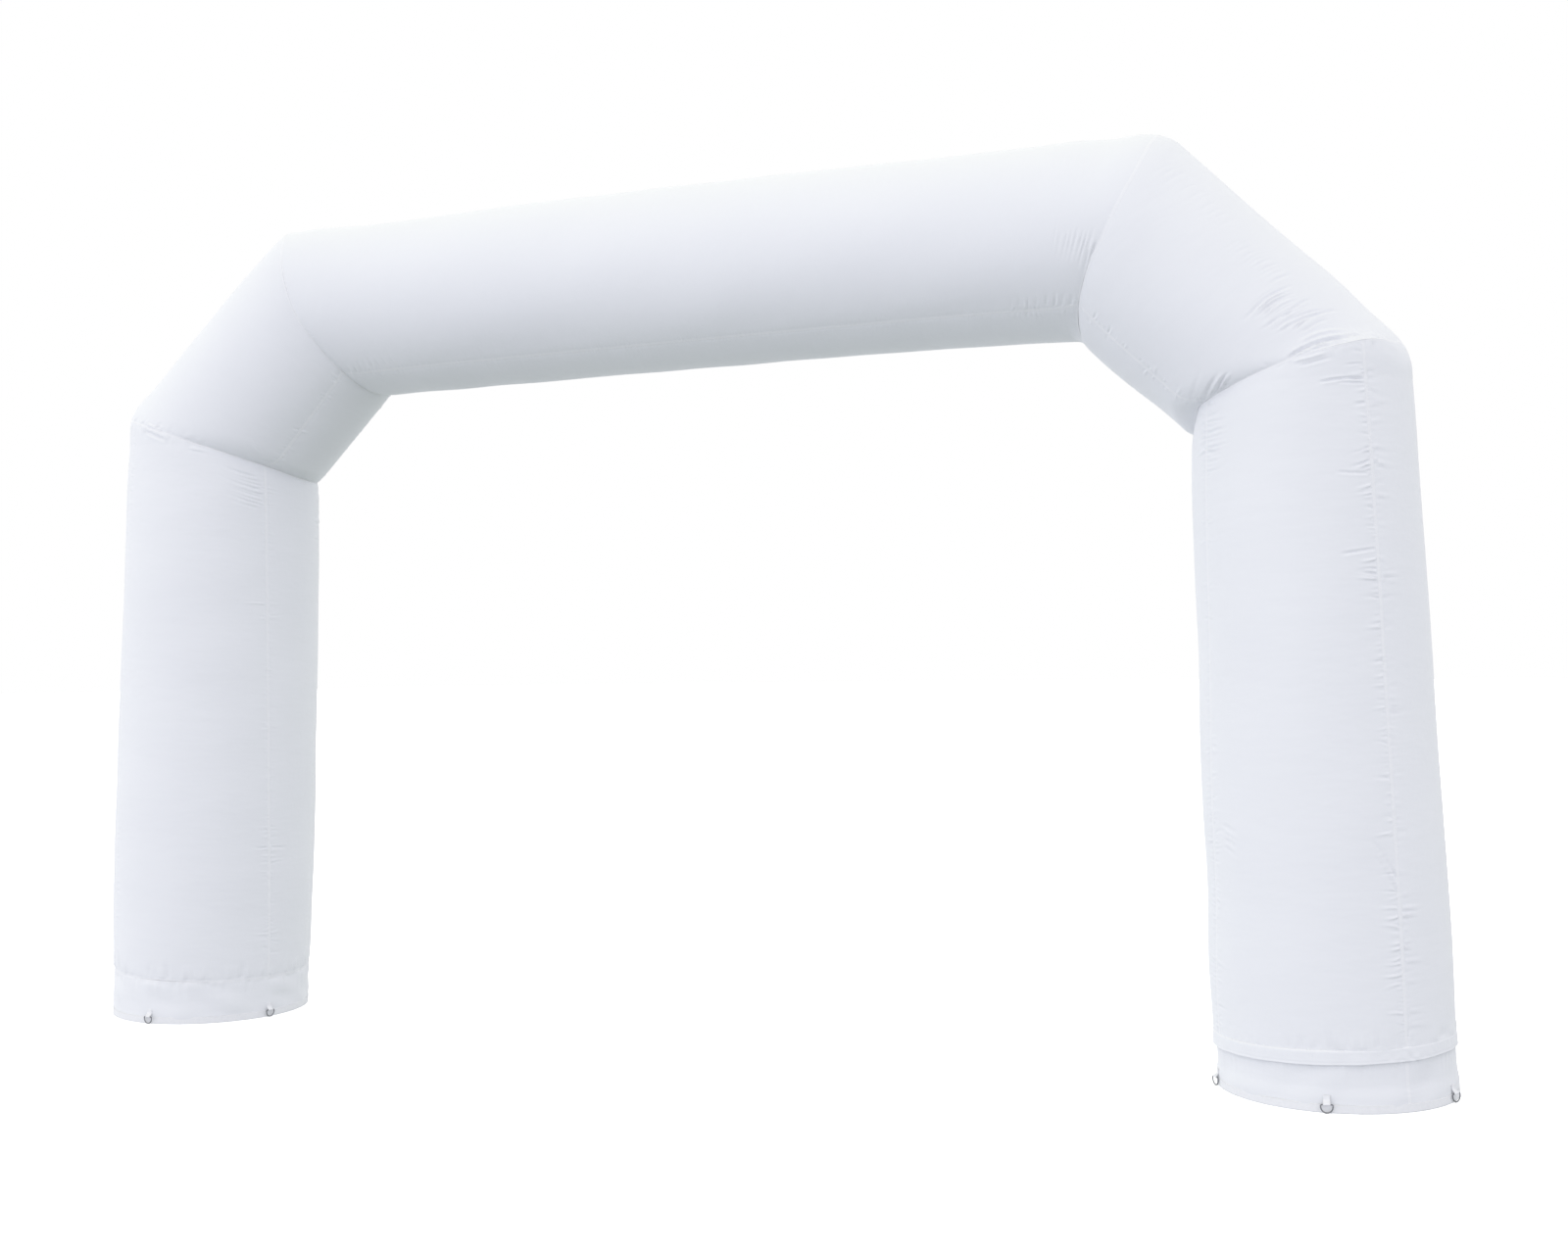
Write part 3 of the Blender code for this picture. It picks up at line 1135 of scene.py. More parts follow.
@dataclass
class Panel:
    """One sewn panel of a tube, between two long seams and two cross seams."""

    name: str
    tube: Tube
    first: LongSeam
    last: LongSeam
    start: CrossSeam
    end: CrossSeam
    start_puckers: Puckers
    end_puckers: Puckers
    folds: list[Fold]
    row_length: float = 0.0065
    column_width: float = 0.014
    crown: float = 0.005
    crown_fade: float = 0.55
    allowance: float = 0.012
    seam_half: float = 0.0078
    seam_rise: float = 0.0009
    seam_edge: float = 0.001
    groove: float = 0.0016
    groove_width: float = 0.016
    unevenness: float = 0.0016
    unevenness_length: float = 0.55
    unevenness_clear: float = 0.12
    ripple: float = 0.0005
    ripple_length: float = 0.045
    ripple_reach: float = 0.03
    ripple_seed: int = 7
    seam_clear: float = 0.012
    overrun: float = 0.4
    seam_columns: tuple[float, ...] = (
        0.0, 0.004, 0.0074, 0.0094, 0.013, 0.018, 0.025, 0.034, 0.045, 0.058, 0.074,
    )

    @property
    def mean_radius(self) -> float:
        """What turns an angle into a distance round the tube."""
        return (self.tube.start_radius + self.tube.end_radius) / 2

    @property
    def start_width(self) -> float:
        """The panel's width round the tube, at its start."""
        return math.radians(self.last.start_angle - self.first.start_angle) * self.mean_radius

    @property
    def end_width(self) -> float:
        """The panel's width round the tube, at its end."""
        return math.radians(self.last.end_angle - self.first.end_angle) * self.mean_radius

    @property
    def width(self) -> float:
        """The panel's mean width round the tube."""
        return (self.start_width + self.end_width) / 2

    @cached_property
    def mean_length(self) -> float:
        """The panel's mean length between its cross seams.

        Returns:
            The length in metres.
        """
        shares = np.linspace(0.0, 1.0, 41)
        start_angle = mix(self.first.start_angle, self.last.start_angle, shares)
        end_angle = mix(self.first.end_angle, self.last.end_angle, shares)
        starts = self.tube.locate(self.start.points(start_angle), start_angle)[1]
        ends = self.tube.locate(self.end.points(end_angle), end_angle)[1]
        return float((ends - starts).mean())

    def column_shares(self) -> Array:
        """The columns, as shares of the width: close together beside the seams.

        Returns:
            The shares, from 0 to 1.
        """
        beside = np.array(self.seam_columns)
        inner = self.width - 2 * beside[-1]
        count = max(2, round(inner / self.column_width))
        middle = beside[-1] + inner * np.arange(1, count) / count
        return np.concatenate((beside, middle, self.width - beside[::-1])) / self.width

    def seam_folds(self) -> Iterator[Fold]:
        """The puckers beside the panel's four seams.

        Yields:
            The folds.
        """
        for seam, way in ((self.first, 1.0), (self.last, -1.0)):
            yield from self.long_puckers(seam, way)
        yield from self.cross_puckers(self.start, self.start_puckers, 1.0, 11)
        yield from self.cross_puckers(self.end, self.end_puckers, -1.0, 23)

    def long_puckers(self, seam: LongSeam, way: float) -> Iterator[Fold]:
        """The puckers that stand off one side of a long seam.

        Args:
            seam: the seam.
            way: 1 if the panel lies at greater angles than the seam, and else -1.

        Yields:
            The folds.
        """
        shared = np.random.default_rng(seam.seed)
        chance = np.random.default_rng(seam.seed * 7 + (1 if way > 0 else 2))
        puckers = seam.puckers
        edge = math.degrees(self.seam_half / self.mean_radius) * way
        reach = -self.overrun
        while reach < self.tube.length + self.overrun:
            reach += puckers.spacing * shared.uniform(*UNEVEN_SPACING)
            common = shared.uniform(0.3, 1.3) ** 2
            strength = puckers.strength_at(reach) * common * chance.uniform(0.5, 1.2)
            angle = seam.angle(reach / self.tube.length) + edge
            yield from puckers.folds(strength, chance, lambda length, drift: (
                angle, reach, angle + math.degrees(length / self.mean_radius) * way, reach + drift
            ))

    def cross_puckers(self, seam: CrossSeam, puckers: Puckers, way: float, seed: int) -> Iterator[Fold]:
        """The puckers that stand off a cross seam.

        Args:
            seam: the seam.
            puckers: how they look.
            way: 1 if the panel lies past the seam along the tube, and else -1.
            seed: what makes them differ from those of the panel's other seam.

        Yields:
            The folds.
        """
        chance = np.random.default_rng(seed + 100 * self.first.seed)
        step = math.degrees(puckers.spacing / self.mean_radius)
        angle = min(self.first.start_angle, self.first.end_angle)
        stop = max(self.last.start_angle, self.last.end_angle)
        while angle < stop:
            angle += step * chance.uniform(*UNEVEN_SPACING)
            near = (angle + 90.0) % 360.0 - 90.0
            strength = puckers.strength_at(near) * chance.uniform(0.3, 1.2) ** 2 * 1.3
            here = np.array([angle])
            at, reach, _ = (float(value[0]) for value in self.tube.locate(seam.points(here), here))
            reach += puckers.standoff * way
            yield from puckers.folds(strength, chance, lambda length, drift: (
                at, reach, at + math.degrees(drift / self.mean_radius), reach + length * way
            ))

    def seam_section(self, distance: Array) -> Array:
        """The lift of the cloth beside a seam: a raised flat seam in a shallow groove.

        Args:
            distance: distances from the seam.

        Returns:
            The lifts.
        """
        off_seam = (distance - self.seam_half + self.seam_edge) / (2.0 * self.seam_edge)
        on_seam = self.seam_rise * (1.0 - soft_step(off_seam))
        return on_seam - self.groove * np.exp(-((distance / self.groove_width) ** 2))

    def relief(self, angle: Array, reach: Array, long_seam: Array, cross_seam: Array) -> Array:
        """How far the cloth's unevenness, puckers and folds lift it.

        Args:
            angle: angles round the tube.
            reach: reaches along it.
            long_seam: distances from the nearer long seam.
            cross_seam: distances from the nearer cross seam.

        Returns:
            The lifts.
        """
        x = np.radians(angle) * self.mean_radius
        uneven = Waves(self.first.seed + 40, self.unevenness_length).at(x, reach)
        lift = self.unevenness * uneven * soft_step(long_seam / self.unevenness_clear)
        middle = (self.first.start_angle + self.last.start_angle) / 2
        folded = np.zeros(len(x))
        for fold in (*self.seam_folds(), *self.folds):
            turn = 360.0 * round((middle - (fold.angle + fold.to_angle) / 2) / 360.0)
            near, height = fold.lift(x, reach, self.mean_radius, turn)
            folded[near] += height
        clear = soft_step(long_seam / self.seam_clear) * soft_step(cross_seam / self.seam_clear)
        beside = (1.0 - soft_step(long_seam / self.ripple_reach)) * soft_step(cross_seam / self.ripple_reach)
        ripple = self.ripple * Waves(self.ripple_seed, self.ripple_length).at(reach)
        return lift + folded * clear + ripple * beside

    def lay(self, column: Array, row: Array) -> Laid:
        """Where the panel's cloth lies. The first and last columns and rows are turned in.

        Args:
            column: numbers of columns of the grid.
            row: numbers of its rows.

        Returns:
            The points with their pattern and seam distances.
        """
        shares = self.column_shares()
        rows = self.row_count
        turned_in = (column == 0) | (column == len(shares) + 1) | (row == 0) | (row == rows + 2)
        on_corner = np.isin(column, (1, len(shares))) | np.isin(row, (1, rows + 1))
        share = shares[np.clip(column - 1, 0, len(shares) - 1)]
        along = np.clip(row - 1, 0, rows) / rows

        start_angle = mix(self.first.angle(0.0), self.last.angle(0.0), share)
        end_angle = mix(self.first.angle(1.0), self.last.angle(1.0), share)
        at_start, reach_start, radius_start = self.tube.locate(self.start.points(start_angle), start_angle)
        at_end, reach_end, radius_end = self.tube.locate(self.end.points(end_angle), end_angle)
        reach = mix(reach_start, reach_end, along)
        from_start, to_end = reach - reach_start, reach_end - reach
        near_start = np.clip(1.0 - from_start / self.start.fade(self.tube, start_angle), 0.0, 1.0) ** 2
        near_end = np.clip(1.0 - to_end / self.end.fade(self.tube, end_angle), 0.0, 1.0) ** 2
        angle = mix(start_angle, end_angle, along)
        angle = angle + (at_start - start_angle) * near_start + (at_end - end_angle) * near_end
        radius = self.tube.radius(angle, reach)
        radius = radius + (radius_start - self.tube.radius(at_start, reach_start)) * near_start
        radius = radius + (radius_end - self.tube.radius(at_end, reach_end)) * near_end

        wide = mix(self.start_width, self.end_width, along)
        across = share * wide
        long_seam = np.minimum(across, wide - across)
        cross_seam = np.minimum(from_start, to_end)
        lift = self.crown * (1.0 - (2.0 * share - 1.0) ** 2) * soft_step(cross_seam / self.crown_fade)
        lift = lift + self.seam_section(long_seam) + self.seam_section(cross_seam)
        lift = lift + self.relief(angle, reach, long_seam, cross_seam)
        lift = np.where(turned_in, lift - self.allowance, lift)
        points = self.tube.point(angle, reach, radius + lift)
        return Laid(points, np.stack((across, reach), axis=-1), long_seam, cross_seam, on_corner & ~turned_in)

    @property
    def row_count(self) -> int:
        """Rows of quads along the panel."""
        return round(self.mean_length / self.row_length)

    def build(self, finish: Material, node: str) -> Piece:
        """The panel as a piece.

        Args:
            finish: its material.
            node: the node that it replaces.

        Returns:
            The piece.
        """
        piece = lay_grid(self.name, len(self.column_shares()) + 1, self.row_count + 2, self.lay)
        start, axis = Vector(self.tube.start), Vector(self.tube.axis)
        face_outwards(piece, lambda point: (point - start) - axis * (point - start).dot(axis))
        return dress(piece, finish, Slot.CLOTH, node, (round(self.width, 3), round(self.mean_length, 3)))


@dataclass
class ClothRun:
    """A tube of the arch, sewn from panels."""

    name: str
    tube: Tube
    start: CrossSeam
    end: CrossSeam
    seams: list[LongSeam]
    panels: tuple[str, ...]
    start_puckers: Puckers
    end_puckers: Puckers
    folds: list[Fold]
    row_length: float = 0.0048
    coarse_row_length: float = 0.010
    column_width: float = 0.013
    coarse_column_width: float = 0.030

    def build(self, finish: Material) -> list[Piece]:
        """The panels as pieces, in the order of their seams.

        Args:
            finish: the material of the cloth.

        Returns:
            The pieces.
        """
        closed = [*self.seams, self.seams[0].turned(360.0)]
        pieces = []
        for word, first, last in zip(self.panels, closed, closed[1:]):
            node = f"{self.name}_{word}"
            coarse = word in ("back", "outer")
            panel = Panel(
                f"cloth_{node}", self.tube, first, last, self.start, self.end,
                self.start_puckers, self.end_puckers, self.folds,
                self.coarse_row_length if coarse else self.row_length,
                self.coarse_column_width if coarse else self.column_width,
            )
            pieces.append(panel.build(finish, node))
        return pieces


@dataclass
class Foot:
    """The skirt, hem tape, flap and lashing rings below one leg."""

    side: Side
    line: CentreLine
    hem_inset: float
    waist_inset: float
    has_flap: bool
    twists: tuple[float, ...]
    seam_angle: float = -39.0
    waist_above: float = 0.06
    waist_below: float = 0.05
    tuck: float = 0.0034
    tuck_below: float = 0.045
    tape_height: float = 0.038
    tape_thickness: float = 0.0015
    tape_waves: float = 0.0005
    tape_length: float = 0.16
    flap_span: tuple[float, float] = (0.208, 0.275)
    flap_height: float = 0.067
    flap_thickness: float = 0.0012
    seam_half: float = 0.007
    seam_lift: float = 0.0008
    seam_groove: float = 0.001
    deep_gather: float = 0.0024
    deep_length: float = 0.042
    deep_reach: float = 0.055
    fine_gather: float = 0.0008
    fine_length: float = 0.019
    fine_reach: float = 0.02
    gather_clear: float = 0.045
    billow: float = 0.0024
    billow_length: float = 0.17
    flap_tuck: float = 0.0015
    flap_stand: float = 0.0046
    flap_flare: float = 0.0026
    flap_waves: float = 0.0013
    flap_crush: float = 0.0020
    flap_crush_angle: float = 322.0
    flap_crush_width: float = 13.0
    flap_gathers: float = 0.0006
    flap_hem: float = 0.0011
    columns: int = 420
    skirt_rows: int = 30
    tape_rows: int = 8
    flap_rows: int = 16

    @cached_property
    def tube(self) -> Tube:
        """The tube that the skirt lies on, from the ground to the leg's bottom seam.

        Returns:
            The tube.
        """
        leg = self.line.leg(self.side)
        radius = self.line.foot_radius
        return Tube(self.line.foot(self.side), leg.start, radius, radius)

    def ground_reach(self, angle: Array, radius: Array) -> Array:
        """The reach at which a line along the tube meets the ground."""
        return -radius * (self.tube.outward(angle) @ UP) / (self.tube.axis @ UP)

    def round_foot(self, column: Array) -> tuple[Array, Array]:
        """The angles of these columns, from the back, and the distances round the foot."""
        angle = 180.0 + 360.0 * column / self.columns
        return angle, np.radians(angle) * self.line.foot_radius

    def wavy(self, seed: int, length: float, x: Array, y: Array | float = 0.0) -> Array:
        """Unevenness that differs from the other foot's."""
        return Waves(seed + self.side.value, length).at(x, y)

    def skirt_lift(self, height: Array) -> Array:
        """How far the skirt lies off the foot's radius, at these heights up it.

        Args:
            height: heights above the ground along the tube.

        Returns:
            The lifts.
        """
        below = self.line.skirt_height - height
        waist = soft_step((height - self.waist_above) / self.waist_above)
        waist = waist * (1.0 - soft_step((self.waist_below - below) / self.waist_below))
        lift = mix(-self.hem_inset, -self.waist_inset, waist)
        return mix(lift, -self.tuck, soft_step((self.tuck_below - below) / self.tuck_below))

    def place_skirt(self, column: Array, row: Array) -> Laid:
        """Where the skirt's cloth lies.

        Args:
            column: numbers of columns of the grid.
            row: numbers of its rows.

        Returns:
            The points with their pattern and seam distances.
        """
        angle, x = self.round_foot(column)
        share = row / self.skirt_rows
        height = share * self.line.skirt_height
        below = self.line.skirt_height - height
        radius = self.line.foot_radius + self.skirt_lift(height)
        start = self.ground_reach(angle, radius)
        reach = mix(start, self.tube.length + self.line.seam_rise(self.side), share)
        half_round = math.pi * self.line.foot_radius
        off_seam = x - math.radians(self.seam_angle) * self.line.foot_radius
        beside = np.abs((off_seam + half_round) % (2 * half_round) - half_round)
        lift = self.gathers(x, below) * soft_step(height / self.gather_clear)
        lift = lift + self.seam_lift * (1.0 - soft_step((beside - self.seam_half) / 0.002))
        lift = lift - self.seam_groove * np.exp(-((beside / (2.0 * self.seam_half)) ** 2))
        broad = self.billow * self.wavy(61, self.billow_length, x, height)
        lift = lift + broad * soft_step(height / 0.06) * soft_step(below / 0.03)
        points = self.tube.point(angle, reach, radius + lift)
        return Laid(points, np.stack((x, height), axis=-1), beside, below)

    def gathers(self, x: Array, below: Array) -> Array:
        """The upright gathers that hang from the skirt's top seam.

        Args:
            x: distances round the foot.
            below: distances below the seam.

        Returns:
            The lifts.
        """
        deep = self.deep_gather * self.wavy(31, self.deep_length, x) * np.exp(-below / self.deep_reach)
        fine = self.fine_gather * self.wavy(33, self.fine_length, x) * np.exp(-below / self.fine_reach)
        return (deep + fine) * soft_step(below / 0.012)

    def build_band(
        self, name: str, rows: int, place: Place, finish: Material, slot: Slot, node: str,
        height: float, thickness: float = 0.0,
    ) -> Piece:
        """A band round the foot, as a piece.

        Args:
            name: the band's name without its side.
            rows: quads up it.
            place: where its outer face lies.
            finish: its material.
            slot: the record's slot.
            node: the node that it replaces, without its side.
            height: the height of the flat band.
            thickness: how thick the cloth is made, inwards, or 0.

        Returns:
            The piece.
        """
        piece = lay_grid(f"{name}_{self.side.word}", self.columns, rows, place, closed=True)
        middle = Vector(self.tube.start)
        face_outwards(piece, lambda point: Vector((point.x - middle.x, point.y - middle.y, 0.0)))
        if thickness:
            thicken(piece, thickness, -1.0)
        flat = (round(WHOLE_TURN * self.line.foot_radius, 3), height)
        return dress(piece, finish, slot, f"{node}_{self.side.word}", flat)

    def place_tape(self, column: Array, row: Array) -> Laid:
        """Where the outer face of the hem tape lies.

        Args:
            column: numbers of columns of the grid.
            row: numbers of its rows.

        Returns:
            The points with their pattern and edge distances.
        """
        angle, x = self.round_foot(column)
        share = row / self.tape_rows
        height = share * self.tape_height
        lift = -self.hem_inset + PIECE_GAP + self.tape_thickness
        radius = self.line.foot_radius + lift + self.tape_waves * self.wavy(51, self.tape_length, x) * share
        reach = self.ground_reach(angle, radius) + height / (self.tube.axis @ UP)
        points = self.tube.point(angle, reach, radius)
        edge = np.minimum(height, self.tape_height - height)
        return Laid(points, np.stack((x, height), axis=-1), edge, edge)

    def place_flap(self, column: Array, row: Array) -> Laid:
        """Where the outer face of the flap lies.

        Args:
            column: numbers of columns of the grid.
            row: numbers of its rows.

        Returns:
            The points with their pattern and seam distances.
        """
        leg = self.line.leg(self.side)
        angle, x = self.round_foot(column)
        share = row / self.flap_rows
        slack = 1.0 - soft_step(share)
        low, high = (height - self.line.skirt_height for height in self.flap_span)
        low = low + 0.0015 * Waves(73, 0.3).at(x)
        reach = mix(low, high, share)
        lift = self.flap_stand * soft_step((1.0 - share) / 0.16) - self.flap_tuck
        lift = lift + self.flap_flare * slack + self.flap_waves * Waves(71, 0.11).at(x) * slack
        off_crush = (angle % 360.0 - self.flap_crush_angle) / self.flap_crush_width
        crush = np.exp(-(off_crush**2)) * soft_step(share / 0.15) * (1 - share)
        lift = lift + self.flap_crush * crush * Waves(77, 0.05).at(x, 1.2 * reach)
        lift = lift + self.flap_gathers * Waves(79, 0.024).at(x) * soft_step((share - 0.55) / 0.3)
        lift = lift - self.flap_hem * np.exp(-(((share - 0.16) / 0.05) ** 2))
        radius = leg.radius(angle, np.maximum(reach, 0.0)) + lift
        points = leg.point(angle, reach, radius)
        top = (1.0 - share) * (high - low)
        return Laid(points, np.stack((x, reach), axis=-1), np.full(len(x), FAR), top)

    def build(self, finishes: Finishes) -> None:
        """All of the foot's pieces.

        Args:
            finishes: the materials.
        """
        self.build_band(
            "cloth_skirt", self.skirt_rows, self.place_skirt, finishes.cloth, Slot.CLOTH, "skirt",
            self.line.skirt_height,
        )
        self.build_band(
            "webbing_hem", self.tape_rows, self.place_tape, finishes.webbing, Slot.WEBBING, "hem_tape",
            self.tape_height, self.tape_thickness,
        )
        if self.has_flap:
            self.build_band(
                "cloth_flap", self.flap_rows, self.place_flap, finishes.cloth, Slot.CLOTH, "flap",
                self.flap_height, self.flap_thickness,
            )
        for number, twist in enumerate(self.twists):
            LashingRing(self, number, twist).build(finishes)


@dataclass
class LashingRing:
    """A D ring on a folded webbing tab, sewn to the skirt just above the hem tape."""

    foot: Foot
    number: int
    twist: float
    wire_radius: float = 0.003
    half_width: float = 0.026
    straight: float = 0.010
    corner: float = 0.006
    lowest: float = 0.0008
    stand: float = 0.015
    tab_width: float = 0.032
    tab_thickness: float = 0.0014
    tab_clear: float = 0.0008
    tab_top: float = 0.078
    sewn_from: float = 0.058
    turned_by: float = 0.045
    wire_steps: int = 76
    wire_sides: int = 12
    wire_arc_points: int = 40
    tab_columns: int = 8
    tab_rows: int = 48
    tab_arc: tuple[float, float] = (150.0, 390.0)
    tab_arc_points: int = 25
    tab_smoothing: int = 3

    @property
    def word(self) -> str:
        """The ring's side and number in the names of its pieces."""
        return f"{self.foot.side.word}_{self.number + 1}"

    @property
    def bar_height(self) -> float:
        """The height of the middle of the bar."""
        return self.lowest + self.wire_radius + self.half_width + self.straight

    @cached_property
    def frame(self) -> Matrix:
        """The place on the skirt: X runs round the foot, Y outwards and Z up.

        Returns:
            The matrix from the ring to the world.
        """
        tube = self.foot.tube
        angle = np.array(360.0 / len(self.foot.twists) * self.number)
        outward = tube.outward(angle)
        radius = tube.start_radius - self.foot.hem_inset
        base = tube.point(angle, self.foot.ground_reach(angle, radius), radius)
        across = np.cross(outward, tube.axis)
        turn = Matrix((Vector(across), Vector(outward), Vector(tube.axis))).transposed().to_4x4()
        return Matrix.Translation(Vector(base)) @ turn

    @staticmethod
    def placed(points: Array, place: Matrix) -> Array:
        """Points moved by a matrix."""
        turn = np.array(place)
        return points @ turn[:3, :3].T + turn[:3, 3]

    def wire_line(self) -> Array:
        """The middle of the wire, evenly spaced: the bar on the X axis, the round part below.

        Returns:
            (across, up) points, the last one on the first.
        """
        inner = self.half_width - self.corner
        arcs = [
            (inner, -self.corner, self.corner, 90.0, 0.0),
            (0.0, -self.straight, self.half_width, 0.0, -180.0),
            (-inner, -self.corner, self.corner, 180.0, 90.0),
        ]
        points = [
            (x + radius * math.cos(angle), z + radius * math.sin(angle))
            for x, z, radius, first, last in arcs
            for angle in np.radians(np.linspace(first, last, self.wire_arc_points))
        ]
        return spaced_evenly(np.array([*points, points[0]]), self.wire_steps)

    def place_wire(self, column: Array, row: Array) -> Laid:
        """Where the wire's surface lies.

        Args:
            column: numbers of steps along the wire.
            row: numbers of steps round it.

        Returns:
            The points.
        """
        line = self.wire_line()
        ahead = np.roll(line[:-1], -1, axis=0) - np.roll(line[:-1], 1, axis=0)
        ahead = np.concatenate((ahead, ahead[:1]))
        ahead = ahead / np.linalg.norm(ahead, axis=1)[:, None]
        side = np.stack((ahead[:, 1], -ahead[:, 0]), axis=-1)
        turn = WHOLE_TURN * row / self.wire_sides
        flat = line[column] + side[column] * (self.wire_radius * np.cos(turn))[:, None]
        local = np.stack((flat[:, 0], self.wire_radius * np.sin(turn), flat[:, 1]), axis=-1)
        stand = Matrix.Translation((0.0, self.stand, self.bar_height))
        points = self.placed(local, self.frame @ stand @ Matrix.Rotation(math.radians(self.twist), 4, "Z"))
        far = np.full(len(column), FAR)
        return Laid(points, np.stack((column * 0.001, row * 0.001), axis=-1), far, far)

    def build_wire(self, finish: Material) -> Piece:
        """The ring as a piece, with its closed shell right way out.

        Args:
            finish: the steel.

        Returns:
            The piece.
        """
        name = f"wire_ring_{self.word}"
        piece = lay_grid(name, self.wire_steps, self.wire_sides, self.place_wire, closed=True)
        with reshaped(piece.data) as shape:
            bmesh.ops.recalc_face_normals(shape, faces=shape.faces)
            if shape.calc_volume(signed=True) < 0:
                bmesh.ops.reverse_faces(shape, faces=shape.faces)
        return dress(piece, finish, Slot.STEEL, f"ring_{self.word}")

    @cached_property
    def tab_line(self) -> Array:
        """The middle of the webbing, as (outwards, up) points of even spacing.

        Returns:
            The points, from the back end over the ring to the front end.
        """
        loop = self.wire_radius + self.tab_clear + self.tab_thickness / 2
        back = PIECE_GAP + self.tab_thickness / 2
        front = back + self.tab_thickness + PIECE_GAP
        half_way = mix(self.tab_top, self.sewn_from, 0.5)
        points = [(back, self.tab_top), (back, half_way), (back, self.sewn_from)]
        for angle in np.radians(np.linspace(*self.tab_arc, self.tab_arc_points)):
            points.append((self.stand + loop * math.cos(angle), self.bar_height + loop * math.sin(angle)))
        points += [(front, self.sewn_from), (front, half_way), (front, self.tab_top)]
        line = spaced_evenly(np.array(points), self.tab_rows)
        for _ in range(self.tab_smoothing):
            line[1:-1] = (line[:-2] + 2.0 * line[1:-1] + line[2:]) / 4.0
        return line

    def place_tab(self, column: Array, row: Array) -> Laid:
        """Where the middle of the webbing lies.

        Args:
            column: numbers of columns of the grid.
            row: numbers of its rows.

        Returns:
            The points with their pattern and edge distances.
        """
        across = (column / self.tab_columns - 0.5) * self.tab_width
        outwards, up = self.tab_line[row].T
        turn = np.radians(self.twist) * soft_step((self.sewn_from - up) / (self.sewn_from - self.turned_by))
        x = across * np.cos(turn) - (outwards - self.stand) * np.sin(turn)
        y = self.stand + across * np.sin(turn) + (outwards - self.stand) * np.cos(turn)
        points = self.placed(np.stack((x, y, up), axis=-1), self.frame)
        edge = self.tab_width / 2 - np.abs(across)
        return Laid(points, np.stack((across, run_along(self.tab_line)[row]), axis=-1), edge, edge)

    def build_tab(self, finish: Material) -> Piece:
        """The webbing tab as a piece.

        Args:
            finish: the webbing.

        Returns:
            The piece.
        """
        piece = lay_grid(f"webbing_tab_{self.word}", self.tab_columns, self.tab_rows, self.place_tab)
        thicken(piece, self.tab_thickness, 0.0)
        flat = (self.tab_width, round(float(run_along(self.tab_line)[-1]), 4))
        return dress(piece, finish, Slot.WEBBING, f"tab_{self.word}", flat)

    def build(self, finishes: Finishes) -> None:
        """The ring and its tab."""
        self.build_wire(finishes.steel)
        self.build_tab(finishes.webbing)


@dataclass(frozen=True)
class Seams:
    """The angles of the long seams."""

    outer: float = -39.0
    top: float = -90.0
    inner_left: tuple[float, float, float] = (71.0, 61.0, 57.0)
    inner_right: tuple[float, float, float] = (64.0, 50.0, 48.0)

    def inner(self, side: Side) -> tuple[float, float, float]:
        """The front inner seam's angles at the foot, knee and crown."""
        return self.inner_left if side is Side.LEFT else self.inner_right


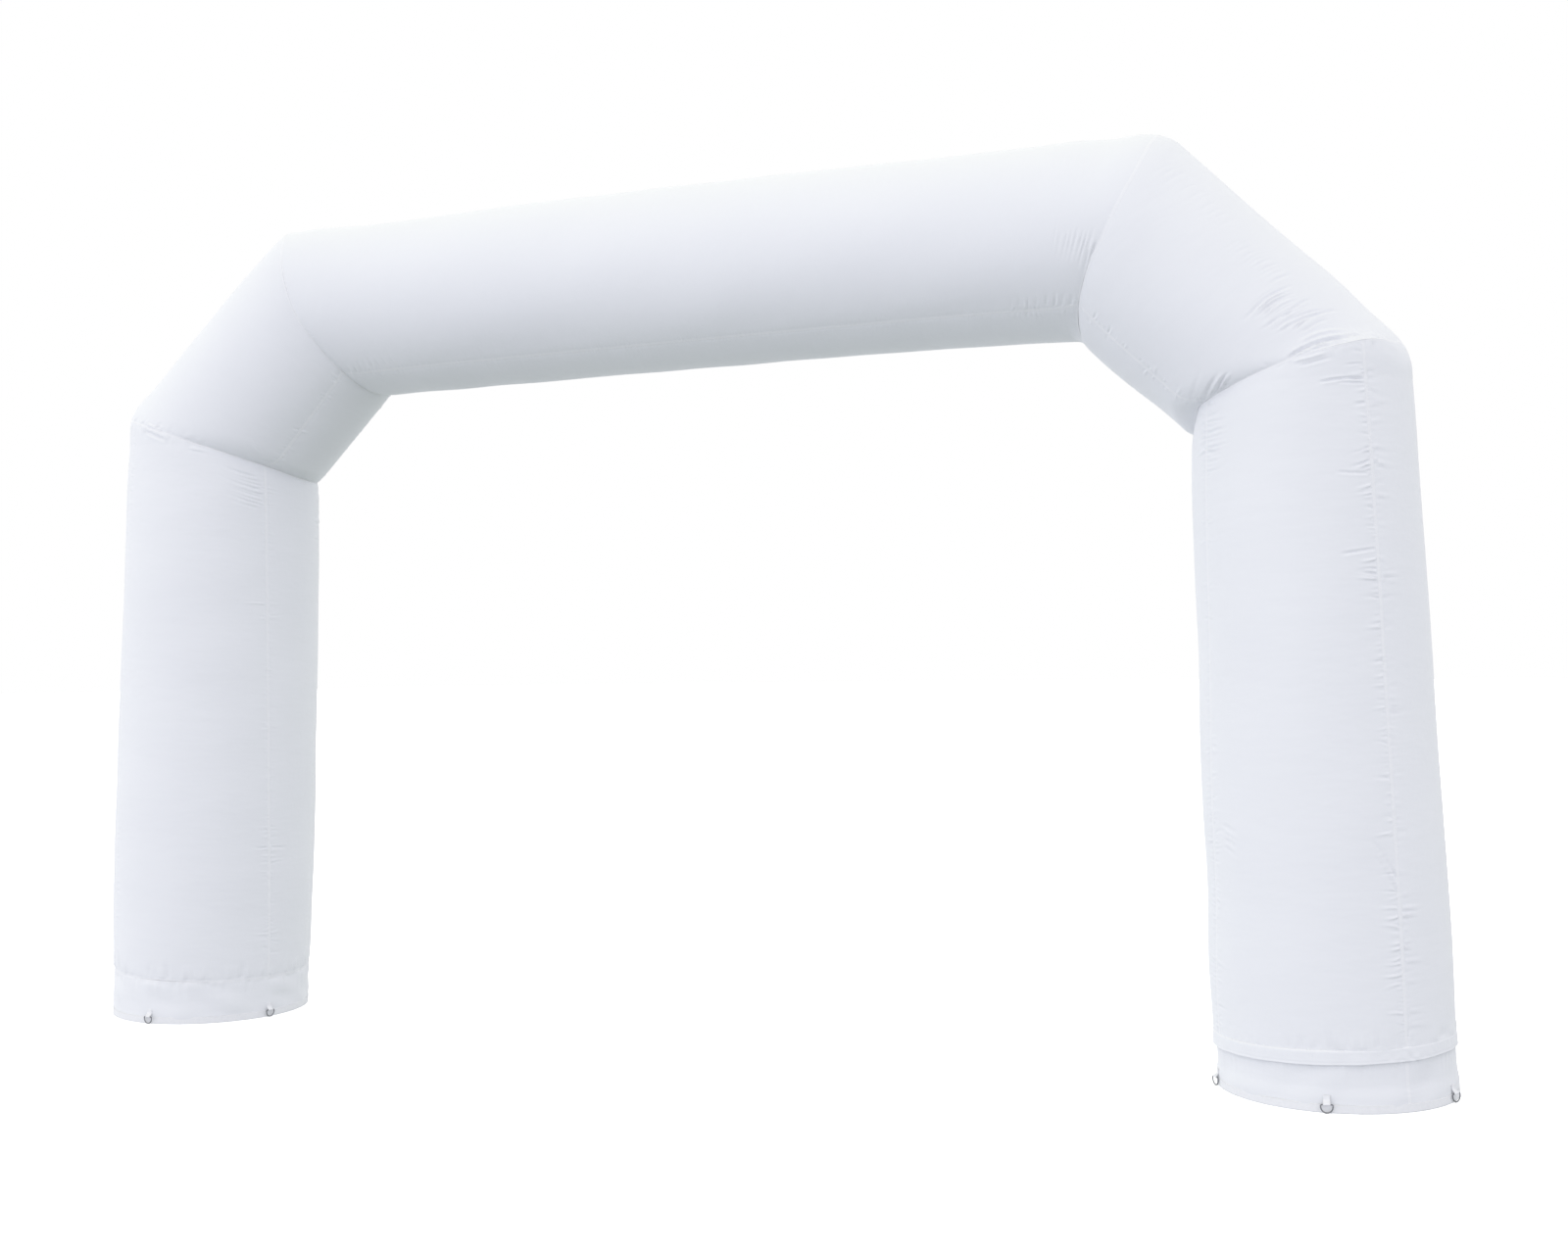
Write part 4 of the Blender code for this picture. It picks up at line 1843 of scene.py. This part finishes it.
@dataclass
class Arch:
    """The cloth of the whole arch."""

    line: CentreLine
    seams: Seams
    knee_left: MitreShape = MitreShape(
        slide=Ring((
            (-90.0, -0.062), (-50.0, -0.010), (-10.0, 0.040), (12.0, 0.065), (33.0, 0.080), (64.0, 0.078),
            (90.0, 0.052), (124.0, 0.018), (150.0, 0.030), (185.0, 0.030), (225.0, 0.000),
        )),
        sink=mirrored((-90.0, 0.0045), (-40.0, 0.005), (0.0, 0.005), (60.0, 0.006), (90.0, 0.004)),
        fade_below=mirrored((-90.0, 0.055), (-40.0, 0.08), (0.0, 0.12), (50.0, 0.12), (90.0, 0.08)),
        fade_above=mirrored((-90.0, 0.135), (-40.0, 0.13), (0.0, 0.14), (45.0, 0.14), (90.0, 0.08)),
    )
    knee_right: MitreShape = MitreShape(
        slide=mirrored(
            (-90.0, -0.008), (-71.0, -0.026), (-63.0, -0.017), (-41.0, 0.027), (-28.0, 0.046), (-9.0, 0.074),
            (20.0, 0.102), (38.0, 0.114), (53.0, 0.124), (62.0, 0.128), (70.0, 0.104), (79.0, 0.070),
            (90.0, 0.045),
        ),
        sink=mirrored(
            (-90.0, 0.044), (-66.0, 0.026), (-42.0, 0.007), (0.0, 0.005), (56.0, 0.006), (72.0, 0.014),
            (90.0, 0.022),
        ),
        fade_below=mirrored(
            (-90.0, 0.15), (-65.0, 0.13), (-40.0, 0.09), (0.0, 0.12), (50.0, 0.12), (90.0, 0.08)
        ),
        fade_above=mirrored((-90.0, 0.14), (-60.0, 0.14), (-35.0, 0.13), (45.0, 0.14), (90.0, 0.07)),
    )
    crown_left: MitreShape = MitreShape(
        slide=mirrored(
            (-90.0, -0.094), (-72.0, -0.062), (-55.0, -0.026), (-40.0, -0.004), (-22.0, -0.004),
            (0.0, -0.008), (14.0, -0.008), (30.0, 0.012), (45.0, 0.022), (60.0, 0.029), (90.0, 0.024),
        ),
        sink=mirrored(
            (-90.0, 0.010), (-60.0, 0.018), (-30.0, 0.016), (0.0, 0.013), (30.0, 0.014), (60.0, 0.010),
            (90.0, 0.005),
        ),
        fade_below=mirrored((-90.0, 0.14), (-50.0, 0.15), (0.0, 0.15), (40.0, 0.13), (90.0, 0.08)),
        fade_above=mirrored((-90.0, 0.32), (-50.0, 0.26), (0.0, 0.16), (40.0, 0.13), (90.0, 0.08)),
    )
    crown_right: MitreShape = MitreShape(
        slide=mirrored(
            (-90.0, 0.0), (-54.0, -0.010), (-30.0, -0.023), (-3.0, -0.007), (9.0, 0.002), (23.0, 0.026),
            (45.0, 0.041), (62.0, 0.036), (77.0, 0.018), (90.0, 0.002),
        ),
        sink=mirrored(
            (-90.0, 0.028), (-60.0, 0.016), (-30.0, 0.007), (0.0, 0.007), (30.0, 0.011), (60.0, 0.008),
            (90.0, 0.001),
        ),
        fade_below=mirrored((-90.0, 0.09), (-50.0, 0.10), (0.0, 0.15), (40.0, 0.13), (90.0, 0.06)),
        fade_above=mirrored((-90.0, 0.20), (-50.0, 0.15), (0.0, 0.15), (40.0, 0.13), (90.0, 0.06)),
    )

    def knee(self, side: Side) -> Mitre:
        """The mitre between leg and shoulder."""
        shape = self.knee_left if side is Side.LEFT else self.knee_right
        return Mitre(self.line.leg(side), self.line.shoulder(side), False, shape)

    def crown(self, side: Side) -> Mitre:
        """The mitre between shoulder and beam."""
        shape = self.crown_left if side is Side.LEFT else self.crown_right
        return Mitre(self.line.shoulder(side), self.line.beam(), side is Side.RIGHT, shape)

    def leg_seams(self, side: Side) -> list[LongSeam]:
        """The long seams of a leg, from the front one at the outer side.

        Args:
            side: which leg.

        Returns:
            The seams, front to outer back.
        """
        foot, knee, _ = self.seams.inner(side)
        seed = 200 + side.value * 50
        if side is Side.RIGHT:
            outer = Puckers(
                spacing=0.018, height=0.0031, length=0.075, width=0.0056, strength=0.85,
                clusters=((2.68, 0.40, 0.6), (2.10, 0.13, 0.5), (0.50, 0.42, 0.5)),
            )
            inner = Puckers(strength=0.5, clusters=((2.80, 0.15, 0.9), (1.00, 0.12, 0.9), (0.35, 0.2, 0.7)))
        else:
            outer = Puckers(clusters=((2.7, 0.2, 0.6), (0.5, 0.3, 0.4)))
            inner = Puckers(strength=0.25, clusters=(
                (2.80, 0.12, 0.6), (2.085, 0.06, 0.8), (0.772, 0.06, 0.9), (0.658, 0.05, 0.8),
                (0.218, 0.07, 0.9), (0.01, 0.05, 0.8),
            ))
        back_outer = Puckers(clusters=((2.4, 0.4, 0.5), (0.6, 0.3, 0.5)))
        return [
            LongSeam(self.seams.outer, self.seams.outer, outer, seed),
            LongSeam(foot, knee, inner, seed + 1),
            LongSeam(180.0 - foot, 180.0 - knee, Puckers(clusters=((2.6, 0.2, 0.7),)), seed + 2),
            LongSeam(180.0 - self.seams.outer, 180.0 - self.seams.outer, back_outer, seed + 3),
        ]

    def upper_seams(self, start: float, end: float, seed: int, puckers: Puckers) -> list[LongSeam]:
        """The long seams of a shoulder or the beam, from the top one.

        Args:
            start: the front lower seam's angle at the start.
            end: its angle at the end.
            seed: what makes their puckers differ.
            puckers: the lower seams' puckers.

        Returns:
            The top, front and back seams.
        """
        return [
            LongSeam(self.seams.top, self.seams.top, Puckers(strength=0.3), seed),
            LongSeam(start, end, puckers, seed + 1),
            LongSeam(180.0 - start, 180.0 - end, puckers, seed + 2),
        ]

    @staticmethod
    def both_faces(*folds: Fold | FoldFan) -> list[Fold]:
        """The folds, and the same ones a little lower on the back of the tube.

        Args:
            folds: the folds and fans of the front.

        Returns:
            All of the folds.
        """
        front = [fold for item in folds for fold in (item.folds() if isinstance(item, FoldFan) else (item,))]
        return front + [
            replace(
                fold, angle=180.0 - fold.angle, to_angle=180.0 - fold.to_angle, height=0.8 * fold.height,
                bow=-fold.bow,
            )
            for fold in front
        ]

    # Each Fold below is: angle, reach, to_angle, to_reach, height, width, bow, spread, fade_in, fade_out.

    def leg_folds(self, side: Side) -> list[Fold]:
        """The folds of a leg that are larger than puckers.

        Args:
            side: which leg.

        Returns:
            The folds.
        """
        if side is Side.RIGHT:
            return self.both_faces(
                Fold(-14.0, 2.960, -38.5, 2.972, -0.0082, 0.0090, -0.007, 0.8, 0.2, 0.15),
                Fold(-24.0, 2.958, -38.5, 2.950, -0.0034, 0.0075, 0.0, 0.8, 0.2, 0.15),
                Fold(-28.0, 3.034, -38.5, 3.040, -0.0030, 0.0070, 0.0, 0.8, 0.2, 0.2),
                Fold(-20.0, 2.562, -38.5, 2.552, -0.0040, 0.0085, 0.003, 0.9, 0.2, 0.2),
                Fold(-20.0, 2.199, -38.5, 2.219, -0.0052, 0.010, 0.0, 0.8, 0.2, 0.15),
                Fold(-26.0, 0.958, -40.0, 0.734, -0.0044, 0.010, -0.008, 0.9, 0.2, 0.2),
                Fold(-28.0, 0.878, -40.0, 0.668, -0.0036, 0.010, -0.006, 0.9, 0.2, 0.2),
                Fold(-2.0, 3.062, -21.0, 3.096, 0.0055, 0.011, 0.004, 1.0, 0.2, 0.3),
                Fold(-5.5, 3.040, -22.0, 3.072, -0.0052, 0.009, 0.003, 1.0, 0.2, 0.3),
                FoldFan(
                    Fold(59.0, 2.86, 24.0, 2.86, -0.0044, 0.0085, 0.010),
                    Fold(58.0, 2.62, 30.0, 2.64, -0.0034, 0.0085, 0.010), count=11, seed=5
                ),
                FoldFan(
                    Fold(50.0, 1.02, 34.0, 0.96, -0.0040, 0.010),
                    Fold(48.0, 0.92, 36.0, 0.86, -0.0030, 0.010), count=4, seed=6
                ),
            )
        return self.both_faces(
            Fold(-20.0, 3.062, -1.0, 3.003, -0.0090, 0.013, 0.0, 1.0, 0.2, 0.3),
            Fold(14.0, 2.965, 27.0, 2.945, 0.0040, 0.010, 0.0, 1.0, 0.2, 0.4),
            FoldFan(
                Fold(62.5, 2.80, 28.0, 2.89, -0.0050, 0.0090, 0.008),
                Fold(61.5, 2.64, 38.0, 2.70, -0.0034, 0.0090, 0.008), count=9, seed=8
            ),
        )

    def shoulder_folds(self, side: Side) -> list[Fold]:
        """The folds of a shoulder that are larger than puckers.

        Args:
            side: which shoulder.

        Returns:
            The folds.
        """
        if side is Side.LEFT:
            return self.both_faces(
                Fold(-24.5, -0.042, -12.0, 0.005, 0.0050, 0.011, 0.0, 1.0, 0.2, 0.4),
                Fold(50.0, 0.27, 30.0, 0.33, -0.0022, 0.011),
                Fold(50.0, 0.31, 33.0, 0.38, -0.0018, 0.011),
            )
        return self.both_faces(
            Fold(46.0, 0.226, 17.0, 0.240, 0.0068, 0.0085, 0.003, 1.0, 0.1, 0.3),
            Fold(45.0, 0.246, 18.0, 0.262, -0.0060, 0.0090, 0.003, 1.0, 0.1, 0.4),
            Fold(34.0, 0.214, 16.5, 0.227, -0.0058, 0.0080, 0.0, 1.0, 0.1, 0.3),
            Fold(30.0, 0.205, 15.5, 0.214, 0.0058, 0.0080, 0.0, 1.0, 0.1, 0.4),
            Fold(52.0, 0.238, 43.0, 0.262, -0.0055, 0.0095, 0.0, 1.0, 0.1, 0.5),
            Fold(46.0, 0.290, 21.0, 0.340, -0.0026, 0.0100, 0.006, 1.5, 0.2, 0.5),
            Fold(-7.0, 0.062, -39.0, -0.072, -0.0120, 0.0120, -0.024, 1.0, 0.15, 0.25),
            Fold(-16.0, 0.078, -41.0, -0.030, 0.0050, 0.0120, -0.022, 1.0, 0.2, 0.3),
            Fold(-5.0, 0.320, -42.0, 0.284, -0.0038, 0.0078, -0.021, 1.2, 0.2, 0.35),
            Fold(-15.0, 0.291, -37.0, 0.256, -0.0034, 0.0078, -0.012, 1.2, 0.2, 0.35),
            Fold(-9.0, 0.234, -30.0, 0.190, -0.0032, 0.0078, -0.009, 1.2, 0.2, 0.35),
            Fold(-21.0, 0.205, -42.0, 0.190, -0.0036, 0.0078, -0.010, 1.2, 0.2, 0.35),
            Fold(-16.0, 0.191, -47.0, 0.081, -0.0042, 0.0080, -0.019, 1.2, 0.2, 0.4),
            Fold(-12.5, 0.174, -39.0, 0.110, -0.0040, 0.0078, -0.010, 1.2, 0.2, 0.4),
            Fold(-18.0, 0.134, -51.0, 0.060, -0.0060, 0.0082, -0.024, 1.2, 0.2, 0.45),
            Fold(-21.0, 0.102, -40.0, 0.063, -0.0038, 0.0080, -0.010, 1.2, 0.2, 0.4),
            FoldFan(
                Fold(-8.0, 0.345, -40.0, 0.305, -0.0038, 0.0074, -0.019, 1.2, 0.2, 0.4),
                Fold(-12.0, 0.160, -38.0, 0.115, -0.0038, 0.0074, -0.013, 1.2, 0.2, 0.4), count=12, seed=15
            ),
            FoldFan(
                Fold(-26.0, 0.62, -46.0, 0.60, -0.0009, 0.0080, -0.008, 1.5, 0.4, 0.5),
                Fold(-27.0, 0.37, -48.0, 0.33, -0.0024, 0.0080, -0.010, 1.5, 0.4, 0.5), count=11, seed=16
            ),
            FoldFan(
                Fold(-30.0, 1.12, -60.0, 1.10, -0.0014, 0.0075, -0.012, 1.5, 0.4, 0.5),
                Fold(-34.0, 0.68, -54.0, 0.66, -0.0009, 0.0075, -0.010, 1.5, 0.4, 0.5), count=12, seed=17
            ),
            FoldFan(
                Fold(-21.0, 0.052, -25.0, -0.004, -0.0070, 0.0072),
                Fold(-40.0, -0.045, -42.0, -0.086, -0.0070, 0.0072), count=8, seed=19
            ),
            FoldFan(
                Fold(-41.0, -0.090, -40.5, -0.045, -0.0060, 0.0064),
                Fold(-56.0, -0.165, -55.0, -0.115, -0.0060, 0.0064), count=8, seed=20
            ),
            FoldFan(
                Fold(-36.0, -0.060, -38.0, 0.040, -0.0022, 0.0110),
                Fold(-58.0, -0.160, -60.0, -0.040, -0.0022, 0.0110), count=6, seed=18
            ),
        )

    def beam_folds(self) -> list[Fold]:
        """The folds of the beam that are larger than puckers.

        Returns:
            The folds.
        """
        return self.both_faces(
            Fold(8.0, 4.400, 27.0, 4.338, -0.0085, 0.0105, 0.0, 1.0, 0.4, 0.4),
            Fold(12.0, 4.366, 27.0, 4.318, -0.0045, 0.0095, 0.0, 1.0, 0.4, 0.4),
            FoldFan(
                Fold(-3.0, 4.22, 20.0, 4.18, -0.0024, 0.0085, 0.0, 1.2, 0.4),
                Fold(0.0, 4.40, 28.0, 4.31, -0.0050, 0.0085, 0.0, 1.2, 0.4), count=8, seed=25
            ),
            FoldFan(
                Fold(59.0, 0.24, 44.0, 0.25, -0.0044, 0.0090),
                Fold(51.5, 0.53, 42.0, 0.53, -0.0022, 0.0080), count=8, seed=26
            ),
            FoldFan(
                Fold(48.0, 4.24, 34.0, 4.27, -0.0048, 0.0090),
                Fold(46.0, 3.95, 38.0, 3.96, -0.0022, 0.0080), count=8, seed=27
            ),
        )

    def build(self, finish: Material) -> None:
        """All of the tubes' panels.

        Args:
            finish: the material of the cloth.
        """
        crown_puckers = Puckers(spacing=0.034, height=0.0014, length=0.07, width=0.010, strength=0.3)
        beside = Puckers(
            spacing=0.020, height=0.0030, length=0.055, strength=0.7, clusters=((0.28, 0.09, 0.6),)
        )
        for side in Side:
            leg, shoulder = self.line.leg(side), self.line.shoulder(side)
            _, knee, crown = self.seams.inner(side)
            if side is Side.RIGHT:
                gathers = Puckers(
                    spacing=0.024, height=0.0038, length=0.085, width=0.0082, strength=0.9, standoff=0.038
                )
                clusters = ((-14.0, 12.0, 0.8), (-50.0, 12.0, 1.2), (40.0, 14.0, 0.5))
            else:
                gathers = Puckers(spacing=0.023, height=0.0048, length=0.085, width=0.0088, strength=1.0)
                clusters = ((-13.0, 12.0, 1.0), (-42.0, 12.0, 1.2), (12.0, 14.0, 0.5))
            knee_puckers = Puckers(
                spacing=0.022, height=0.0030, length=0.055, width=0.007, strength=0.35, clusters=clusters
            )
            ClothRun(
                f"leg_{side.word}", leg, FlatSeam(leg, self.line.seam_rise(side)), self.knee(side),
                self.leg_seams(side), ("front", "inner", "back", "outer"), gathers, knee_puckers,
                self.leg_folds(side),
            ).build(finish)
            ClothRun(
                f"shoulder_{side.word}", shoulder, self.knee(side), self.crown(side),
                self.upper_seams(knee, crown, 400 + side.value * 50, beside), ("front", "under", "back"),
                knee_puckers, crown_puckers, self.shoulder_folds(side),
            ).build(finish)
        left, right = (self.seams.inner(side)[2] for side in Side)
        beam_puckers = Puckers(strength=0.25, length=0.05, clusters=((0.38, 0.18, 1.0), (4.08, 0.18, 1.0)))
        ClothRun(
            "beam", self.line.beam(), self.crown(Side.LEFT), self.crown(Side.RIGHT),
            self.upper_seams(left, right, 600, beam_puckers), ("front", "under", "back"),
            crown_puckers, crown_puckers, self.beam_folds(), row_length=0.0056,
        ).build(finish)


@dataclass
class Studio:
    """The floor, lights and camera."""

    place: Point = (3.8003, -8.9691, 2.0689)
    yaw: float = 0.3589
    pitch: float = 0.0094
    roll: float = -0.0101
    lens: float = 42.64
    sensor: float = 36.0
    floor_radius: float = 90.0
    floor_colour: Colour = (1.6, 1.6, 1.6)
    all_round: Colour = (1.075, 1.084, 1.148)
    rightward: Colour = (-0.152, -0.155, -0.151)
    backward: Colour = (-0.031, -0.019, -0.052)
    upward: Colour = (0.451, 0.430, 0.403)
    off_level: Colour = (-0.499, -0.479, -0.640)
    rising: Colour = (0.200, 0.180, 0.290)

    def camera(self) -> None:
        """The camera: it looks along its yaw and pitch, and leans by its roll."""
        ahead = Vector((
            -math.sin(self.yaw) * math.cos(self.pitch), math.cos(self.yaw) * math.cos(self.pitch),
            math.sin(self.pitch),
        ))
        right = Vector((math.cos(self.yaw), math.sin(self.yaw), 0.0))
        above = right.cross(ahead)
        lean_right = right * math.cos(self.roll) + above * math.sin(self.roll)
        lean_above = above * math.cos(self.roll) - right * math.sin(self.roll)
        data = bpy.data.cameras.new("camera")
        data.lens = self.lens
        data.sensor_width = self.sensor
        data.sensor_fit = "HORIZONTAL"
        camera = put_in_scene("camera", data)
        turn = Matrix((lean_right, lean_above, -ahead)).transposed().to_4x4()
        camera.matrix_world = Matrix.Translation(Vector(self.place)) @ turn
        bpy.context.scene.camera = camera

    def floor(self) -> None:
        """A pale floor that only the eye sees: the sky lights the arch from below as well."""
        mesh = bpy.data.meshes.new("floor")
        with reshaped(mesh) as shape:
            bmesh.ops.create_circle(shape, cap_ends=True, segments=96, radius=self.floor_radius)
        nodes = NodeTree.material("pale_floor")
        pale = nodes.add("ShaderNodeBsdfDiffuse", {"Color": (*self.floor_colour, 1.0)})
        nodes.show("Material Output", pale.outputs[0], nodes.add("ShaderNodeBsdfTransparent").outputs[0])
        mesh.materials.append(nodes.owner)
        put_in_scene("studio_floor", mesh)

    def world(self) -> None:
        """A soft light from all round, brighter above, at the left and near the horizon."""
        nodes = NodeTree(bpy.data.worlds.new("studio"))
        place = nodes.add("ShaderNodeTexCoord").outputs["Generated"]
        x, y, z = nodes.add("ShaderNodeSeparateXYZ", {0: place}).outputs
        light = self.all_round
        for colour, share in (
            (self.rightward, x), (self.backward, y), (self.upward, z),
            (self.off_level, nodes.math("MULTIPLY", z, z)), (self.rising, nodes.math("MULTIPLY", x, z)),
        ):
            inputs = {0: colour, 1: share, 2: light}
            light = nodes.add("ShaderNodeVectorMath", inputs, operation="MULTIPLY_ADD").outputs[0]
        shine = nodes.nodes["Background"]
        nodes.feed(shine.inputs["Color"], light)
        seen = nodes.add("ShaderNodeBackground", {"Color": (1.0, 1.0, 1.0, 1.0)})
        nodes.show("World Output", seen.outputs[0], shine.outputs[0])
        bpy.context.scene.world = nodes.owner

    def build(self) -> None:
        """The whole studio."""
        self.camera()
        self.floor()
        self.world()
        view = bpy.context.scene.view_settings
        view.view_transform = "Standard"
        view.look = "None"
        view.exposure = 0.0


def main() -> None:
    """Builds the looks of the arch on its frame."""
    logging.basicConfig(level=logging.INFO, format="%(name)s %(message)s")
    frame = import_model()
    line = CentreLine()
    finishes = Finishes.make()
    Studio().build()
    Arch(line, Seams()).build(finishes.cloth)
    Foot(
        Side.LEFT, line, hem_inset=0.0008, waist_inset=0.002, has_flap=False,
        twists=(-6.0, 4.0, -10.0, 8.0, 12.0),
    ).build(finishes)
    Foot(
        Side.RIGHT, line, hem_inset=0.0036, waist_inset=0.009, has_flap=True,
        twists=(5.0, 18.0, -8.0, 9.0, -18.0),
    ).build(finishes)
    for side in Side:
        floor = frame["nodes"][f"floor_{side.word}"]
        floor.data.materials.clear()
        floor.data.materials.append(finishes.cloth)


if __name__ == "__main__":
    main()
